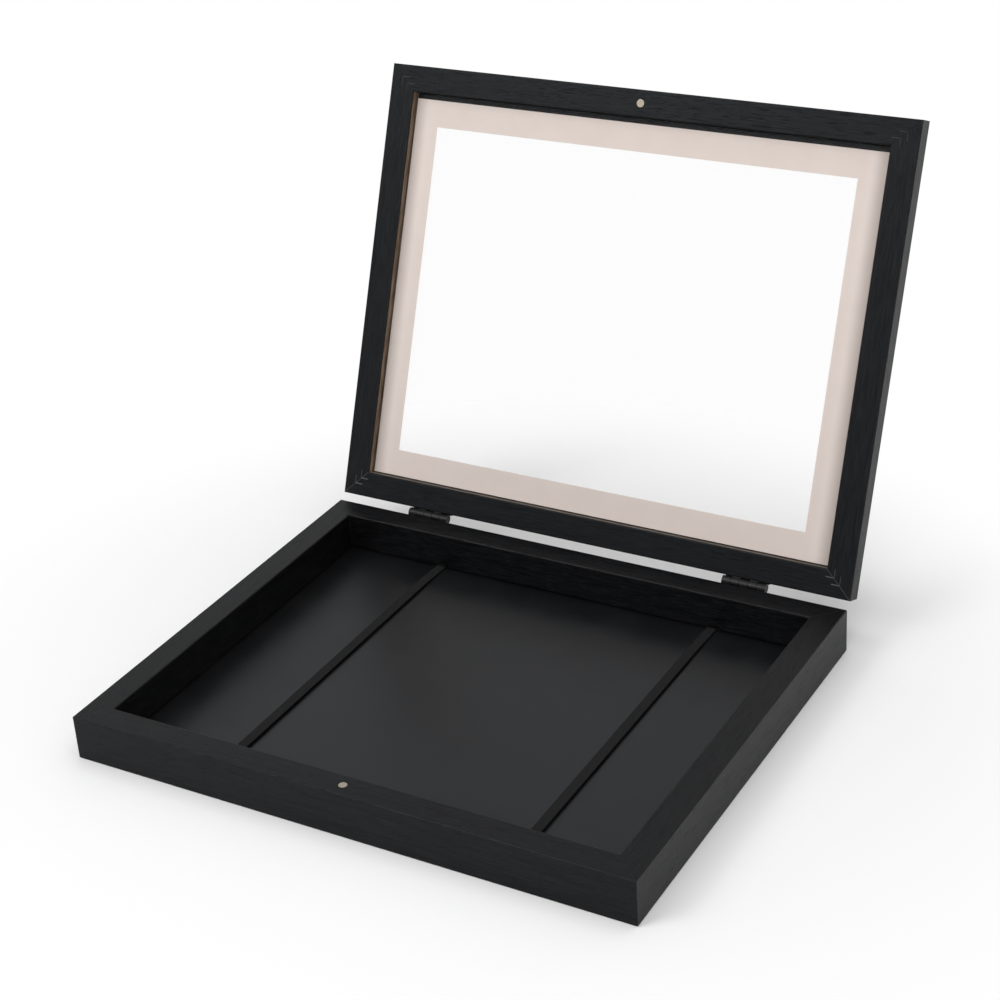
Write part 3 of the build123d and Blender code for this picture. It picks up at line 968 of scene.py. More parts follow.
def refine(node: str, rounding: float = 0.0, segments: int = 2) -> Piece:
    """A whole, smoothly shaded copy of a CAD node, with its sharp edges rounded if asked.

    Args:
        node: the node to copy.
        rounding: width of the rounding.
        segments: its steps.

    Returns:
        The copy, named after the node.
    """
    mesh = frame["nodes"][node].data.copy()
    work = bmesh.new()
    work.from_mesh(mesh)
    bmesh.ops.remove_doubles(work, verts=work.verts, dist=MERGED)
    bmesh.ops.dissolve_limit(work, angle_limit=FLAT_BEND, verts=work.verts, edges=work.edges)
    work.to_mesh(mesh)
    work.free()
    copy = link(node + "_finished", mesh)
    if rounding:
        bevel = copy.modifiers.new("rounding", "BEVEL")
        bevel.width = rounding
        bevel.segments = segments
        bevel.limit_method = "ANGLE"
        bevel.angle_limit = ROUNDED_BEND
        apply_modifiers(copy)
    shade_finely(copy)
    return copy


def finish_node(node: str, body: Body, slot: Slot, rounding: float, finish: Material) -> Piece:
    """Makes a node's refined copy, dressed, part of the box.

    Args:
        node: the CAD node.
        body: the body it rides on.
        slot: the record's slot it is finished as.
        rounding: width of its rounding.
        finish: its material.

    Returns:
        The piece.
    """
    piece = refine(node, rounding)
    dress(piece, finish)
    return settle(piece, body, slot, node)


def grow(name: str, tree: bpy.types.NodeTree, host: bpy.types.Mesh, **values: Any) -> Piece:
    """Makes a plain mesh from a geometry tree.

    Args:
        name: the piece's name.
        tree: the geometry tree.
        host: the mesh that carries it, with its places or its path.
        **values: the tree's inputs, with underscores for spaces.

    Returns:
        The piece, with no modifier.
    """
    carrier = link(name + "_host", host)
    modifier = carrier.modifiers.new("shape", "NODES")
    modifier.node_group = tree
    for item in tree.interface.items_tree:
        key = item.name.replace(" ", "_")
        if item.item_type == "SOCKET" and item.in_out == "INPUT" and key in values:
            modifier[item.identifier] = values[key]
    mesh = evaluated_mesh(carrier)
    bpy.data.objects.remove(carrier)
    work = bmesh.new()
    work.from_mesh(mesh)
    bmesh.ops.remove_doubles(work, verts=work.verts, dist=MERGED)
    bmesh.ops.recalc_face_normals(work, faces=work.faces)
    work.to_mesh(mesh)
    work.free()
    piece = link(name, mesh)
    shade_finely(piece)
    return piece


def place_mesh(name: str, places: Sequence[Matrix]) -> bpy.types.Mesh:
    """A mesh of loose points, each with the turn of what stands on it.

    Args:
        name: the mesh's name.
        places: where each copy stands.

    Returns:
        The mesh.
    """
    mesh = bpy.data.meshes.new(name)
    mesh.from_pydata([place.translation for place in places], [], [])
    turns = mesh.attributes.new("turn", "FLOAT_VECTOR", "POINT")
    for item, place in zip(turns.data, places):
        item.vector = place.to_euler("XYZ")
    return mesh


class Shape(Graph):
    """A geometry tree being made, with named inputs for its sizes."""

    def __init__(self, name: str, sizes: dict[str, Any]) -> None:
        """Starts the tree.

        Args:
            name: its name.
            sizes: each input's default number, or its type's name where it has none.
        """
        inputs = {"Geometry": "Geometry", **sizes, "Finish": "Material"}
        graph, self.given, self.result = open_group(name, "GeometryNodeTree", inputs, {"Geometry": "Geometry"})
        super().__init__(graph.tree)

    def finish(self, shape: Socket) -> Socket:
        """Real meshes with the tree's material."""
        real = self.first("GeometryNodeRealizeInstances", {0: shape})
        return self.first("GeometryNodeSetMaterial", {"Geometry": real, "Material": self.given["Finish"]})

    def close(self, finished: Socket) -> bpy.types.NodeTree:
        """Ends the tree with what was finished, and gives it back."""
        self.feed(self.result, 0, finished)
        return self.tree

    def scatter(self, shape: Socket) -> Socket:
        """Stands a shape on each of the host's points, turned as they say."""
        rotation = self.first("FunctionNodeEulerToRotation", {0: self.recall("turn", "FLOAT_VECTOR")})
        inputs = {"Points": self.given["Geometry"], "Instance": shape, "Rotation": rotation}
        return self.first("GeometryNodeInstanceOnPoints", inputs)

    def mark(self, shape: Socket, name: str, value: Socket, kind: str = "FLOAT", domain: str = "POINT") -> Socket:
        """Stores a named attribute.

        Args:
            shape: what it is stored on.
            name: its name.
            value: its value.
            kind: its data type.
            domain: what carries it.

        Returns:
            The marked shape.
        """
        inputs = {"Geometry": shape, "Name": name, "Value": value}
        return self.first("GeometryNodeStoreNamedAttribute", inputs, data_type=kind, domain=domain)

    def recall(self, name: str, kind: str = "FLOAT") -> Socket:
        """Reads a named attribute."""
        return self.first("GeometryNodeInputNamedAttribute", {"Name": name}, data_type=kind)

    def fillet(self, curve: Socket, count: int, radius: Any, limited: bool = False) -> Socket:
        """Rounds a curve's corners.

        Args:
            curve: the curve.
            count: steps in each corner.
            radius: the corners' radius.
            limited: whether tight corners get less.

        Returns:
            The rounded curve.
        """
        inputs = {"Curve": curve, "Count": count, "Radius": radius, "Limit Radius": limited}
        return self.first("GeometryNodeFilletCurve", inputs, mode="POLY")

    def stand(self, curve: Socket, normal: tuple[float, float, float]) -> Socket:
        """Gives a curve one normal all along, so that its section doesn't twist."""
        return self.first("GeometryNodeSetCurveNormal", {"Curve": curve, "Normal": normal}, mode="FREE")

    def wire(self, *corners: Socket) -> Socket:
        """A curve through corners, in straight runs."""
        joined = self.add("GeometryNodeJoinGeometry")
        for start, end in reversed(list(zip(corners, corners[1:]))):
            ends = {"Count": 2, "Start Location": start, "Offset": end}
            self.feed(joined, 0, self.first("GeometryNodeMeshLine", ends, mode="END_POINTS"))
        whole = self.first("GeometryNodeMergeByDistance", {"Geometry": joined.outputs[0], "Distance": 0.01 * MM})
        return self.first("GeometryNodeMeshToCurve", {0: whole})

    def oblong(self, width: Socket, height: Socket) -> Socket:
        """A flat oblong curve."""
        return self.first("GeometryNodeCurvePrimitiveQuadrilateral", {"Width": width, "Height": height})

    def sweep(self, curve: Socket, section: Socket) -> Socket:
        """A solid with the given section along a curve."""
        inputs = {"Curve": curve, "Profile Curve": section, "Fill Caps": True}
        return self.first("GeometryNodeCurveToMesh", inputs)

    def block(self, width: Any, depth: Any, height: Any) -> Socket:
        """A box round the origin."""
        return self.first("GeometryNodeMeshCube", {"Size": self.join(width, depth, height)})

    def lift(self, shape: Socket, height: Any) -> Socket:
        """A shape moved up."""
        return self.first("GeometryNodeTransform", {"Geometry": shape, "Translation": self.join(z=height)})

    def cut(self, shape: Socket, *knives: Socket, crossing: bool = False) -> Socket:
        """Takes knives out of a shape.

        Args:
            shape: the shape.
            *knives: what is taken out of it.
            crossing: whether the knives cross each other.

        Returns:
            What is left.
        """
        node = self.add("GeometryNodeMeshBoolean", {0: shape}, operation="DIFFERENCE", solver="EXACT")
        self.feed(node, "Self Intersection", crossing)
        for knife in knives:
            self.feed(node, 1, knife)
        return node.outputs[0]


# ---- wooden frames ------------------------------------------------------------------------


@dataclass
class RailSet:
    """Four mitred rails, each with its own run of grain.

    Args:
        prefix: how the rails' nodes begin.
        body: the body they belong to.
        under: the wood left bare inside the front rail, the hinge rail and the side rails.
        joint_shows: how much pale wood shows in the mitres.
        seed: first of the rails' grain seeds.
    """

    prefix: str
    body: Body
    under: tuple[BareWood, BareWood, BareWood]
    joint_shows: float
    seed: float

    def build(self) -> Iterator[Piece]:
        """Smooths and dresses the rails.

        Yields:
            Each rail.
        """
        to_flat = TO_FLAT[self.body]
        end_rail = rim_width(f"{self.prefix}_front_rail", self.body)
        side_rail = rim_width(f"{self.prefix}_left_rail", self.body)
        for number, side in enumerate(("front", "back", "left", "right")):
            node = f"{self.prefix}_{side}_rail"
            own, other = (end_rail, side_rail) if number < 2 else (side_rail, end_rail)
            axes = rail_axes(node, to_flat, own, other / own)
            under = self.under[min(number, 2)]
            wood = BlackWood(f"wood_{node}", axes, to_flat, under, self.joint_shows, self.seed + number)
            yield finish_node(node, self.body, Slot.WOOD, 0.0, wood.make())


# ---- tray fittings ------------------------------------------------------------------------


@dataclass
class BackPanel:
    """The coated board that is the tray's floor."""

    def build(self) -> Iterator[Piece]:
        """Dresses the panel."""
        yield finish_node("back_panel", Body.TRAY, Slot.PANEL, 0.0, CoatedPanel().make())


@dataclass
class StrapPair:
    """Two elastic straps, laid over the floor and turned in behind it.

    Args:
        ribs: rubber cores side by side in a strap.
        rib_depth: how far the ribs stand out.
        bend: radius where a strap turns.
        flat_end: length by the walls over which a strap lies on the floor.
        knee: distance from the wall to the bend in its rise.
        risen: distance from the wall to where it has risen.
        bow: how far the bend stands above the straight rise.
    """

    ribs: int = 8
    rib_depth: float = 0.09 * MM
    bend: float = 0.55 * MM
    flat_end: float = 1 * MM
    knee: float = 12 * MM
    risen: float = 22 * MM
    bow: float = 0.05 * MM

    def build(self) -> Iterator[Piece]:
        """Makes both straps.

        Yields:
            Each strap.
        """
        tree = self.tape_tree()
        finish = WovenElastic().make()
        sizes = {"Ribs": self.ribs, "Rib_Depth": self.rib_depth, "Bend": self.bend, "Finish": finish}
        for node in ("strap_left", "strap_right"):
            low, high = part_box(node)
            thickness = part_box("back_panel")[0].z - low.z
            route = self.route(node, thickness)
            piece = grow(node + "_tape", tree, route, Width=high.x - low.x, Thickness=thickness, **sizes)
            yield settle(piece, Body.TRAY, Slot.ELASTIC, node)

    def route(self, node: str, thickness: float) -> bpy.types.Mesh:
        """The line that a strap's middle follows.

        Args:
            node: the strap's CAD node.
            thickness: the strap's thickness.

        Returns:
            A mesh of points joined in a row.
        """
        low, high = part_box(node)
        panel_low, panel_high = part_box("back_panel")
        wall = local_box("base_back_rail", UNTURNED)[0].y
        tuck = 2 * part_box("strap_staples")[1].y - panel_high.y
        side = (low.x + high.x) / 2
        half = [
            (tuck, low.z + thickness / 2),
            (high.y - thickness / 2, low.z + thickness / 2),
            (high.y - thickness / 2, panel_high.z + thickness / 2),
            (wall - self.flat_end, panel_high.z + thickness / 2),
            (wall - self.knee, (panel_high.z + high.z) / 2 + self.bow),
            (wall - self.risen, high.z - thickness / 2),
        ]
        points = [(side, -y, z) for y, z in half] + [(side, y, z) for y, z in reversed(half)]
        mesh = bpy.data.meshes.new(node + "_route")
        mesh.from_pydata(points, [(n, n + 1) for n in range(len(points) - 1)], [])
        return mesh

    def tape_tree(self) -> bpy.types.NodeTree:
        """Geometry tree of a ribbed tape along a route.

        Returns:
            The tree.
        """
        sizes = {"Width": 4.8 * MM, "Thickness": 0.8 * MM, "Ribs": 8, "Rib Depth": 0.09 * MM, "Bend": 0.5 * MM}
        shape = Shape("ribbed_tape", sizes)
        path = shape.first("GeometryNodeMeshToCurve", {0: shape.given["Geometry"]})
        rounded = shape.fillet(path, 5, shape.given["Bend"], limited=True)
        run = shape.add("GeometryNodeSplineParameter").outputs["Length"]
        marked = shape.mark(shape.stand(rounded, (1.0, 0.0, 0.0)), "run", run)
        tape = shape.sweep(marked, self.tape_section(shape))
        both = shape.join(shape.recall("run"), shape.recall("across"))
        return shape.close(shape.finish(shape.mark(tape, "tape", both, "FLOAT_VECTOR")))

    def tape_section(self, shape: Shape) -> Socket:
        """Section of the tape: a flat oblong with ribs on both faces.

        Args:
            shape: the tape's tree.

        Returns:
            The closed section curve.
        """
        given = shape.given
        oblong = shape.oblong(given["Width"], given["Thickness"])
        soft = shape.fillet(oblong, 3, shape.times(given["Thickness"], 0.42))
        fine = shape.first("GeometryNodeResampleCurve", {"Curve": soft, "Count": 96}, mode="COUNT")
        place = shape.split(shape.first("GeometryNodeInputPosition"))
        share = shape.plus(shape.math("DIVIDE", place[0], given["Width"]), 0.5)
        ridge = shape.unsigned(shape.math("SINE", shape.times(share, given["Ribs"], math.pi)))
        sunk = shape.times(shape.minus(ridge, 1.0), given["Rib Depth"])
        offset = shape.join(y=shape.times(sunk, shape.math("SIGN", place[1])))
        ribbed = shape.first("GeometryNodeSetPosition", {"Geometry": fine, "Offset": offset})
        return shape.mark(ribbed, "across", share)


@dataclass
class StapleRow:
    """Wire staples over the straps' turned-in ends.

    Args:
        gauge: thickness of the wire.
        finish: the steel they are made of.
    """

    gauge: float
    finish: Material

    def build(self) -> Iterator[Piece]:
        """Makes the staples.

        Yields:
            The staples as one piece.
        """
        low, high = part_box("strap_staples")
        middles = [sum(corner.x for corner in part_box(node)) / 2 for node in ("strap_left", "strap_right")]
        ends = (low.y + self.gauge / 2, high.y - self.gauge / 2)
        places = [Matrix.Translation((x, y, low.z)) for x in middles for y in ends]
        piece = grow(
            "strap_staples_wire",
            self.staple_tree(),
            place_mesh("staple_places", places),
            Gauge=self.gauge,
            Half_Width=high.x - middles[1],
            Height=high.z - low.z,
            Finish=self.finish,
        )
        yield settle(piece, Body.TRAY, Slot.STEEL, "strap_staples")

    def staple_tree(self) -> bpy.types.NodeTree:
        """Geometry tree of bent wire staples.

        Returns:
            The tree.
        """
        shape = Shape("wire_staples", {"Gauge": 0.5 * MM, "Half Width": 3.5 * MM, "Height": 3.3 * MM})
        gauge, height = shape.given["Gauge"], shape.given["Height"]
        half = shape.times(gauge, 0.5)
        reach = shape.minus(shape.given["Half Width"], half)
        left = shape.times(reach, -1.0)
        corners = ((left, height), (left, half), (reach, half), (reach, height))
        bent = shape.fillet(shape.wire(*(shape.join(x, z=z) for x, z in corners)), 5, gauge)
        ring = shape.first("GeometryNodeCurvePrimitiveCircle", {"Resolution": 12, "Radius": half})
        return shape.close(shape.finish(shape.scatter(shape.sweep(bent, ring))))


@dataclass
class CornerNails:
    """Bent steel strips pressed across the mitres.

    Args:
        node: the CAD node they stand for.
        body: the body they are in.
        insets: distance of each nail's bend from the two outer faces.
        finish: the steel they are made of.
        leg: length of a leg.
        gauge: thickness of the strip.
    """

    node: str
    body: Body
    insets: Sequence[float]
    finish: Material
    leg: float = 5 * MM
    gauge: float = 0.5 * MM

    def build(self) -> Iterator[Piece]:
        """Makes the nails.

        Yields:
            The nails as one piece.
        """
        to_flat = TO_FLAT[self.body]
        prefix = self.node.split("_")[0]
        low = local_box(f"{prefix}_left_rail", to_flat)[0]
        high = local_box(f"{prefix}_right_rail", to_flat)[1]
        nail_low, nail_high = local_box(self.node, to_flat)
        corners = ((low.x, low.y, 1, 1), (high.x, low.y, -1, 1), (high.x, high.y, -1, -1), (low.x, high.y, 1, -1))
        places = []
        for inset in self.insets:
            for turn, (x, y, way_x, way_y) in enumerate(corners):
                spot = Matrix.Translation((x + way_x * inset, y + way_y * inset, nail_low.z))
                places.append(to_flat.inverted() @ spot @ Matrix.Rotation(turn * math.pi / 2, 4, "Z"))
        piece = grow(
            self.node + "_strips",
            self.nail_tree(),
            place_mesh(self.node + "_places", places),
            Leg=self.leg,
            Gauge=self.gauge,
            Depth=nail_high.z - nail_low.z,
            Finish=self.finish,
        )
        yield settle(piece, self.body, Slot.STEEL, self.node)

    def nail_tree(self) -> bpy.types.NodeTree:
        """Geometry tree of strips bent to a right angle.

        Returns:
            The tree.
        """
        shape = Shape(self.node + "_shape", {"Leg": 5 * MM, "Gauge": 0.5 * MM, "Depth": 7 * MM})
        leg, gauge, depth = (shape.given[name] for name in ("Leg", "Gauge", "Depth"))
        half, middle = shape.times(gauge, 0.5), shape.times(depth, 0.5)
        corners = ((leg, half), (half, half), (half, leg))
        line = shape.wire(*(shape.join(x, y, middle) for x, y in corners))
        upright = shape.stand(shape.fillet(line, 4, shape.times(gauge, 0.9)), (0.0, 0.0, 1.0))
        section = shape.fillet(shape.oblong(depth, gauge), 2, shape.times(gauge, 0.2))
        return shape.close(shape.finish(shape.scatter(shape.sweep(upright, section))))


@dataclass
class BackHardware:
    """The points that hold the back panel, and the sawtooth hangers.

    Args:
        finish: the steel they are made of.
        point_rounding: width of the rounding on the points.
        hanger_rounding: the same on the hangers.
    """

    finish: Material
    point_rounding: float = 0.08 * MM
    hanger_rounding: float = 0.1 * MM

    def build(self) -> Iterator[Piece]:
        """Rounds and dresses the points and both hangers.

        Yields:
            Each piece.
        """
        yield finish_node("panel_points", Body.TRAY, Slot.STEEL, self.point_rounding, self.finish)
        for node in ("hanger_landscape", "hanger_portrait"):
            yield finish_node(node, Body.TRAY, Slot.STEEL, self.hanger_rounding, self.finish)


# ---- hinges and catch ---------------------------------------------------------------------


@dataclass
class HingePair:
    """Leaves and pins of both hinges.

    Args:
        rounding: width of the rounding on their edges.
    """

    rounding: float = 0.12 * MM

    def build(self) -> Iterator[Piece]:
        """Rounds and dresses leaves and pins.

        Yields:
            Each leaf and pin.
        """
        for side in ("left", "right"):
            for part, body in (("base_leaf", Body.TRAY), ("lid_leaf", Body.LID), ("pin", Body.TRAY)):
                node = f"{side}_hinge_{part}"
                paint = HingePaint(f"paint_{node}", TO_FLAT[body], *local_box(node, TO_FLAT[body]))
                yield finish_node(node, body, Slot.HINGE, self.rounding, paint.make())


@dataclass
class HingeScrews:
    """Low round-headed screws with a cross recess.

    Args:
        node: the CAD node they stand for.
        body: the body they are in.
        outward: the way their heads face, in the row frame.
        head: radius of a head.
        rise: height of a head.
        shank: radius of a shank.
        spacing: a screw's distance from the hinge's middle, as a share of the pin.
        first_turn: how far the first screw is turned.
        next_turn: how much further each next one is.
    """

    node: str
    body: Body
    outward: Vector
    head: float = 1.7 * MM
    rise: float = 0.6 * MM
    shank: float = 0.85 * MM
    spacing: float = 0.28
    first_turn: float = 0.5
    next_turn: float = 1.3

    def build(self) -> Iterator[Piece]:
        """Makes the screws.

        Yields:
            The screws as one piece.
        """
        across = Vector((1, 0, 0))
        turn = Matrix((across, self.outward.cross(across), self.outward)).transposed().to_4x4()
        low, high = local_box(self.node, turn.inverted())
        pins = [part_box(f"{side}_hinge_pin") for side in ("left", "right")]
        offset = self.spacing * (pins[0][1].x - pins[0][0].x)
        spots = [(pin[0].x + pin[1].x) / 2 + way * offset for pin in pins for way in (-1, 1)]
        places = []
        for number, x in enumerate(spots):
            spot = turn @ Vector((x, (low.y + high.y) / 2, high.z - self.rise))
            slack = Matrix.Rotation(self.first_turn + self.next_turn * number, 4, "Z")
            places.append(Matrix.Translation(spot) @ turn @ slack)
        far = Vector((1, 1, 1))
        piece = grow(
            self.node + "_turned",
            self.screw_tree(),
            place_mesh(self.node + "_places", places),
            Head=self.head,
            Rise=self.rise,
            Shank=self.shank,
            Length=high.z - low.z - self.rise,
            Finish=HingePaint(f"paint_{self.node}", UNTURNED, -far, far).make(),
        )
        yield settle(piece, self.body, Slot.HINGE, self.node)

    def screw_tree(self) -> bpy.types.NodeTree:
        """Geometry tree of screws: domed head, cross recess and shank.

        Returns:
            The tree.
        """
        sizes = {"Head": 1.7 * MM, "Rise": 0.6 * MM, "Shank": 0.85 * MM, "Length": 8 * MM}
        shape = Shape(self.node + "_shape", sizes)
        head, rise, shank, length = (shape.given[name] for name in sizes)
        ball = shape.first("GeometryNodeMeshUVSphere", {"Segments": 32, "Rings": 16, "Radius": 1.0})
        dome = shape.first("GeometryNodeTransform", {"Geometry": ball, "Scale": shape.join(head, head, rise)})
        slots = shape.add("GeometryNodeJoinGeometry")
        slot_length, slot_width, slot_lift = 1.15, 0.28, 0.85
        for wide, deep in ((slot_length, slot_width), (slot_width, slot_length)):
            block = shape.block(shape.times(head, wide), shape.times(head, deep), rise)
            shape.feed(slots, 0, shape.lift(block, shape.times(rise, slot_lift)))
        domed = shape.cut(dome, slots.outputs[0], crossing=True)
        stem = shape.first("GeometryNodeMeshCylinder", {"Vertices": 20, "Radius": shank, "Depth": length})
        screw = shape.add("GeometryNodeJoinGeometry")
        shape.feed(screw, 0, shape.lift(stem, shape.times(length, -0.5)))
        shape.feed(screw, 0, domed)
        return shape.close(shape.finish(shape.scatter(screw.outputs[0])))


@dataclass
class MagnetPair:
    """Two plain nickel discs that hold the lid shut.

    Args:
        tray_finish: the tray disc's plating.
        lid_finish: the lid disc's, a darker copy of the plating that paints shade on it.
        gap_shadow: the painted shadow of the gap round their edge.
        rounding: width of the rounding round a face.
        facing: how squarely a facet of the face looks out.
    """

    tray_finish: Material
    lid_finish: Material
    gap_shadow: Material
    rounding: float = 0.34 * MM
    facing: float = 0.97

    def build(self) -> Iterator[Piece]:
        """Rounds and dresses the discs.

        Yields:
            Each disc.
        """
        discs = (("base_magnet", Body.TRAY, self.tray_finish), ("lid_magnet", Body.LID, self.lid_finish))
        for node, body, finish in discs:
            piece = refine(node, self.rounding, 3)
            # Painted shadow: the disc's rim takes the near-black gap finish.
            dress(piece, finish, self.gap_shadow)
            self.mark_edge(piece)
            yield settle(piece, body, Slot.NICKEL, node)

    def mark_edge(self, piece: Piece) -> None:
        """Gives the painted gap shadow to all but the disc's two faces.

        Args:
            piece: the disc.
        """
        widest = max(piece.data.polygons, key=lambda polygon: polygon.area).normal.copy()
        for polygon in piece.data.polygons:
            polygon.material_index = 0 if abs(polygon.normal.dot(widest)) > self.facing else 1


# ---- lid fittings -------------------------------------------------------------------------


@dataclass
class Window:
    """The clear pane and the mat behind it.

    Args:
        width: width of the mat's opening, on the face turned to the tray.
        depth: its depth.
    """

    width: float
    depth: float

    def build(self) -> Iterator[Piece]:
        """Dresses the pane and makes the mat.

        Yields:
            The pane and the mat.
        """
        pane = frame["nodes"]["glazing_pane"]
        dress(pane, ClearPane().make())
        yield pane
        yield self.mat()

    def mat(self) -> Piece:
        """The mat: a faced board with a pale core where its window is cut.

        Returns:
            The piece.
        """
        low, high = local_box("mat_board", STAND.to_shut)
        middle = Matrix.Translation(-(low + high) / 2) @ STAND.to_shut
        size = high - low
        half = size.x / 2
        board = grow(
            "mat_board_cut",
            self.mat_tree(),
            place_mesh("mat_board_place", [middle.inverted()]),
            Width=size.x,
            Depth=size.y,
            Thickness=size.z,
            Window_Width=self.width,
            Window_Depth=self.depth,
            Finish=Card("mat_face", rgb(0.665, 0.58, 0.535), rgb(0.76, 0.69, 0.65), middle, half).make(),
            Core=Card("mat_core", rgb(0.78, 0.75, 0.69), rgb(0.86, 0.84, 0.79), middle, half).make(),
        )
        return settle(board, Body.LID, Slot.MAT, "mat_board")

    def mat_tree(self) -> bpy.types.NodeTree:
        """Geometry tree of a board whose window is cut on a slant, wider towards the pane.

        Returns:
            The tree.
        """
        sizes = {"Width": 280 * MM, "Depth": 215 * MM, "Thickness": 1.5 * MM}
        sizes |= {"Window Width": 250 * MM, "Window Depth": 185 * MM, "Core": "Material"}
        shape = Shape("mat_board_shape", sizes)
        width, depth, thick, window_width, window_depth, core = (shape.given[name] for name in sizes)
        board = shape.block(width, depth, thick)
        wider, deeper = (shape.plus(side, thick) for side in (window_width, window_depth))
        plug = shape.block(wider, deeper, shape.times(thick, 2.0))
        place = shape.split(shape.first("GeometryNodeInputPosition"))
        slant = shape.join(*(shape.times(shape.math("SIGN", place[axis]), place[2]) for axis in (0, 1)))
        knife = shape.first("GeometryNodeSetPosition", {"Geometry": plug, "Offset": slant})
        facing = shape.split(shape.first("GeometryNodeInputNormal"))[2]
        edge = shape.math("LESS_THAN", shape.unsigned(facing), 0.95)
        marked = shape.mark(shape.cut(board, knife), "cut_edge", edge, domain="FACE")
        faced = shape.finish(shape.scatter(marked))
        inputs = {"Geometry": faced, "Selection": shape.recall("cut_edge"), "Material": core}
        return shape.close(shape.first("GeometryNodeSetMaterial", inputs))


# ---- studio -------------------------------------------------------------------------------


@dataclass(frozen=True)
class SoftLamp:
    """A square area lamp.

    Args:
        name: the lamp's name.
        place: where it hangs.
        size: its side.
        power: its power.
    """

    name: str
    place: tuple[float, float, float]
    size: float
    power: float

    def hang(self, target: Vector) -> None:
        """Adds the lamp to the scene.

        Args:
            target: the point it shines at.
        """
        data = bpy.data.lights.new(self.name, "AREA")
        data.size = self.size
        data.energy = self.power
        lamp = bpy.data.objects.new(self.name, data)
        lamp.location = self.place
        lamp.rotation_euler = (target - Vector(self.place)).to_track_quat("-Z", "Y").to_euler()
        bpy.context.scene.collection.objects.link(lamp)


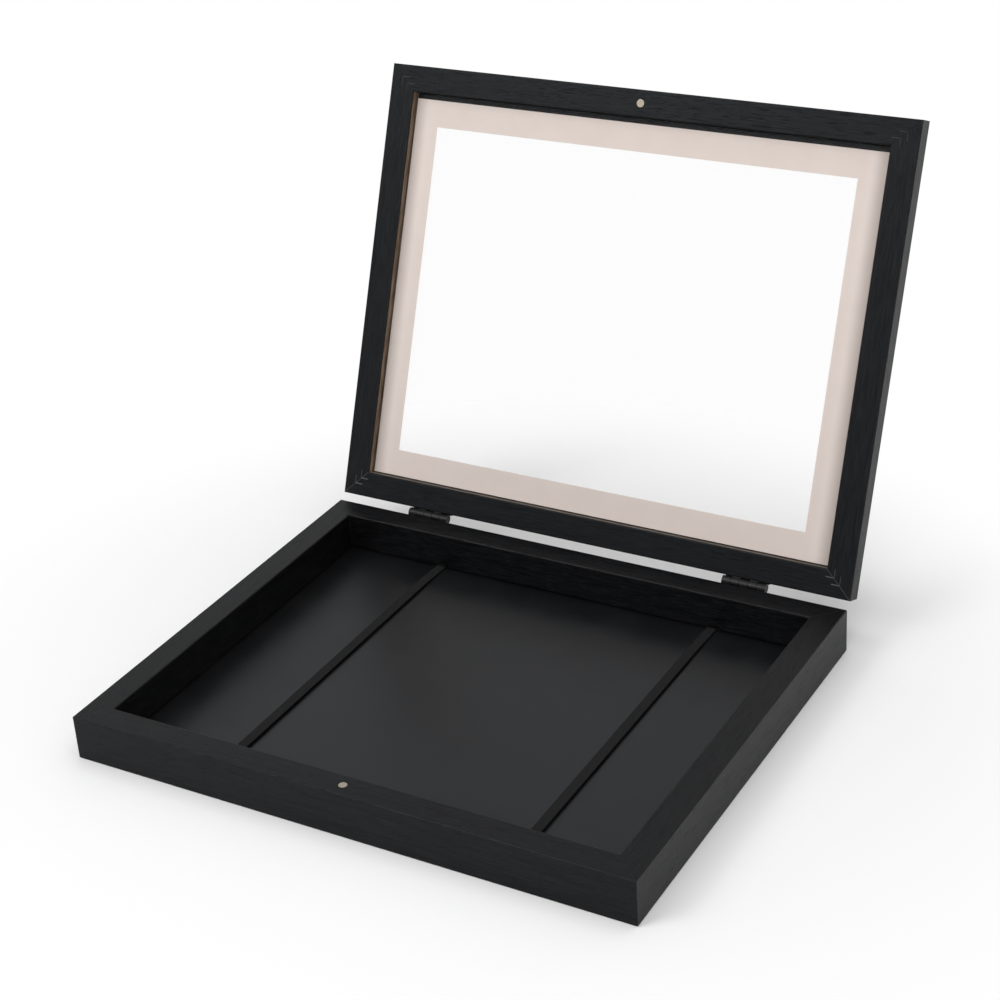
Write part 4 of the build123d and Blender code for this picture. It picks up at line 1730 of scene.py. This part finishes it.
@dataclass
class Studio:
    """Pale floor, soft light and the camera.

    Args:
        azimuth: the camera's place round the box, in degrees.
        elevation: its height above the horizon, in degrees.
        distance: its distance from the target.
        target: the point it looks at.
        roll: its roll, in degrees.
        lens: its focal length in millimetres.
        sensor: its sensor's width in millimetres.
        shift: its lens shift.
        ambient: strength of the light from all round.
        ceiling: how bright the room above the box looks in its gloss.
        ceiling_from: the heights, as sines, at which the room starts and ends its turn to that.
        white_from: where, out from the middle, the floor starts and ends its turn to plain white.
        reach: half the floor's side.
        lamps: the lamps.
    """

    azimuth: float = 31.961
    elevation: float = 27.588
    distance: float = 1.0798
    target: tuple[float, float, float] = (0.00429, 0.00314, 0.12674)
    roll: float = -4.349
    lens: float = 79.87
    sensor: float = 36.0
    shift: tuple[float, float] = (0.0364, -0.0161)
    ambient: float = 0.45
    ceiling: float = 0.78
    ceiling_from: tuple[float, float] = (0.10, 0.38)
    white_from: tuple[float, float] = (0.2, 0.36)
    reach: float = 6.0
    lamps: tuple[SoftLamp, ...] = (
        SoftLamp("front", (0.75, -1.55, 1.35), 1.2, 10.5),
        SoftLamp("left", (-0.88, -1.25, 1.45), 0.9, 14.0),
        SoftLamp("top", (0.3, 0.1, 2.0), 1.6, 12.0),
    )

    def build(self) -> None:
        """Sets up the whole studio."""
        self.make_floor()
        self.make_world()
        for lamp in self.lamps:
            lamp.hang(Vector(self.target))
        self.make_camera()
        bpy.context.scene.view_settings.view_transform = "Standard"

    def make_floor(self) -> None:
        """A wide pale floor that keeps the box's shadow."""
        mesh = bpy.data.meshes.new("floor")
        corners = [(x * self.reach, y * self.reach, 0) for x, y in ((-1, -1), (1, -1), (1, 1), (-1, 1))]
        mesh.from_pydata(corners, [], [(0, 1, 2, 3)])
        floor = link("floor", mesh)
        shade = Shade("pale_floor")
        specks = shade.speckle(4 * MM, 0.2)["Specks"]
        shade.set(Base_Color=shade.tint(specks, rgb(0.93, 0.93, 0.93), rgb(0.91, 0.91, 0.91)), Roughness=0.9)
        self.fade_to_white(shade)
        dress(floor, shade.material)

    def fade_to_white(self, shade: Shade) -> None:
        """Makes the floor plain white further out, for every ray that looks at it.

        Args:
            shade: the floor's finish, which keeps its shadow near the box.
        """
        flat = shade.vector("MULTIPLY", shade.place(), (1.0, 1.0, 0.0))
        away = shade.add("ShaderNodeVectorMath", {0: flat}, operation="LENGTH").outputs["Value"]
        rays = shade.add("ShaderNodeLightPath").outputs
        seen = shade.most(rays["Is Camera Ray"], rays["Is Transmission Ray"])
        seen = shade.most(seen, rays["Is Glossy Ray"])
        white = shade.first("ShaderNodeEmission", {"Color": rgb(1.0, 1.0, 1.0), "Strength": 1.0})
        blend = shade.times(seen, shade.ramp(away, *self.white_from))
        mixed = shade.first("ShaderNodeMixShader", {0: blend, 1: shade.shader.outputs[0], 2: white})
        shade.feed(shade.tree.nodes["Material Output"], "Surface", mixed)

    def make_world(self) -> None:
        """A soft even surround that is white wherever it is seen."""
        world = bpy.data.worlds.new("studio")
        bpy.context.scene.world = world
        world.use_nodes = True
        graph = Graph(world.node_tree)
        background = world.node_tree.nodes["Background"]
        rays = graph.add("ShaderNodeLightPath").outputs
        height = graph.split(graph.add("ShaderNodeTexCoord").outputs["Generated"])[2]
        room = graph.ramp(height, *self.ceiling_from, 1.0, self.ceiling)
        direct = graph.most(rays["Is Camera Ray"], rays["Is Transmission Ray"])
        shown = graph.most(direct, graph.times(rays["Is Glossy Ray"], room))
        graph.feed(background, "Color", rgb(1.0, 1.0, 1.0))
        graph.feed(background, "Strength", graph.most(shown, self.ambient))

    def make_camera(self) -> None:
        """The camera, at the angle from which the box is shown."""
        azimuth, elevation, roll = (math.radians(angle) for angle in (self.azimuth, self.elevation, self.roll))
        flat = math.cos(elevation)
        back = Vector((math.sin(azimuth) * flat, -math.cos(azimuth) * flat, math.sin(elevation)))
        level = Vector((0, 0, 1)).cross(back).normalized()
        upright = back.cross(level)
        right = level * math.cos(roll) + upright * math.sin(roll)
        up = upright * math.cos(roll) - level * math.sin(roll)
        data = bpy.data.cameras.new("camera")
        data.sensor_width = self.sensor
        data.lens = self.lens
        data.shift_x, data.shift_y = self.shift
        camera = bpy.data.objects.new("camera", data)
        turn = Matrix((right, up, back)).transposed().to_4x4()
        camera.matrix_world = Matrix.Translation(Vector(self.target) + back * self.distance) @ turn
        bpy.context.scene.collection.objects.link(camera)
        bpy.context.scene.camera = camera


def main() -> None:
    """Builds and dresses every assembly in order."""
    logging.basicConfig(level=logging.INFO, format="%(name)s: %(message)s")
    steel = Metal("drawn_steel", rgb(0.52, 0.52, 0.53), rgb(0.30, 0.29, 0.27), 0.32, 1.0).make()
    nickel = Metal("nickel_plate", rgb(0.42, 0.38, 0.315), rgb(0.30, 0.26, 0.21), 0.3, 0.3).make()
    # Painted shade: the lid disc's plating is a darker copy of the nickel.
    rubbed_nickel = Metal("rubbed_nickel", rgb(0.27, 0.24, 0.195), rgb(0.17, 0.15, 0.12), 0.34, 0.4).make()
    shut = STAND.to_shut
    base_nail = StainedSteel("base_corner_nail_steel", UNTURNED).make()
    lid_nail = StainedSteel("lid_corner_nail_steel", shut).make()
    lid_back = (shut.inverted().to_3x3() @ Vector((0, 1, 0))).normalized()
    foot = BareWood(0.0, 5.2 * MM, 0.45, rgb(0.03, 0.019, 0.014), rgb(0.065, 0.042, 0.03))
    trace = BareWood(3.0 * MM, 7.0 * MM, 0.15, rgb(0.03, 0.022, 0.018), rgb(0.06, 0.045, 0.035))
    tan = BareWood(1.1 * MM, 7.0 * MM, 1.0, rgb(0.115, 0.075, 0.05), rgb(0.32, 0.24, 0.17))
    grey_tan = BareWood(1.1 * MM, 7.0 * MM, 0.9, rgb(0.12, 0.098, 0.08), rgb(0.25, 0.215, 0.185))
    assemblies = [
        RailSet("base", Body.TRAY, (foot, foot, foot), 0.08, 1.0),
        RailSet("lid", Body.LID, (trace, grey_tan, tan), 0.9, 7.0),
        BackPanel(),
        StrapPair(),
        StapleRow(0.5 * MM, steel),
        CornerNails("base_corner_nails", Body.TRAY, (2.4 * MM, 5.6 * MM), base_nail),
        CornerNails("lid_corner_nails", Body.LID, (6.6 * MM, 10.1 * MM), lid_nail),
        BackHardware(steel),
        HingePair(),
        HingeScrews("hinge_screws_base", Body.TRAY, Vector((0, 1, 0))),
        HingeScrews("hinge_screws_lid", Body.LID, lid_back),
        MagnetPair(nickel, rubbed_nickel, GapShadow().make()),
        Window(250 * MM, 185 * MM),
    ]
    for assembly in assemblies:
        for piece in assembly.build():
            log.info("%s: %s, %d faces", type(assembly).__name__, piece.name, len(piece.data.polygons))
    Studio().build()


if __name__ == "__main__":
    main()
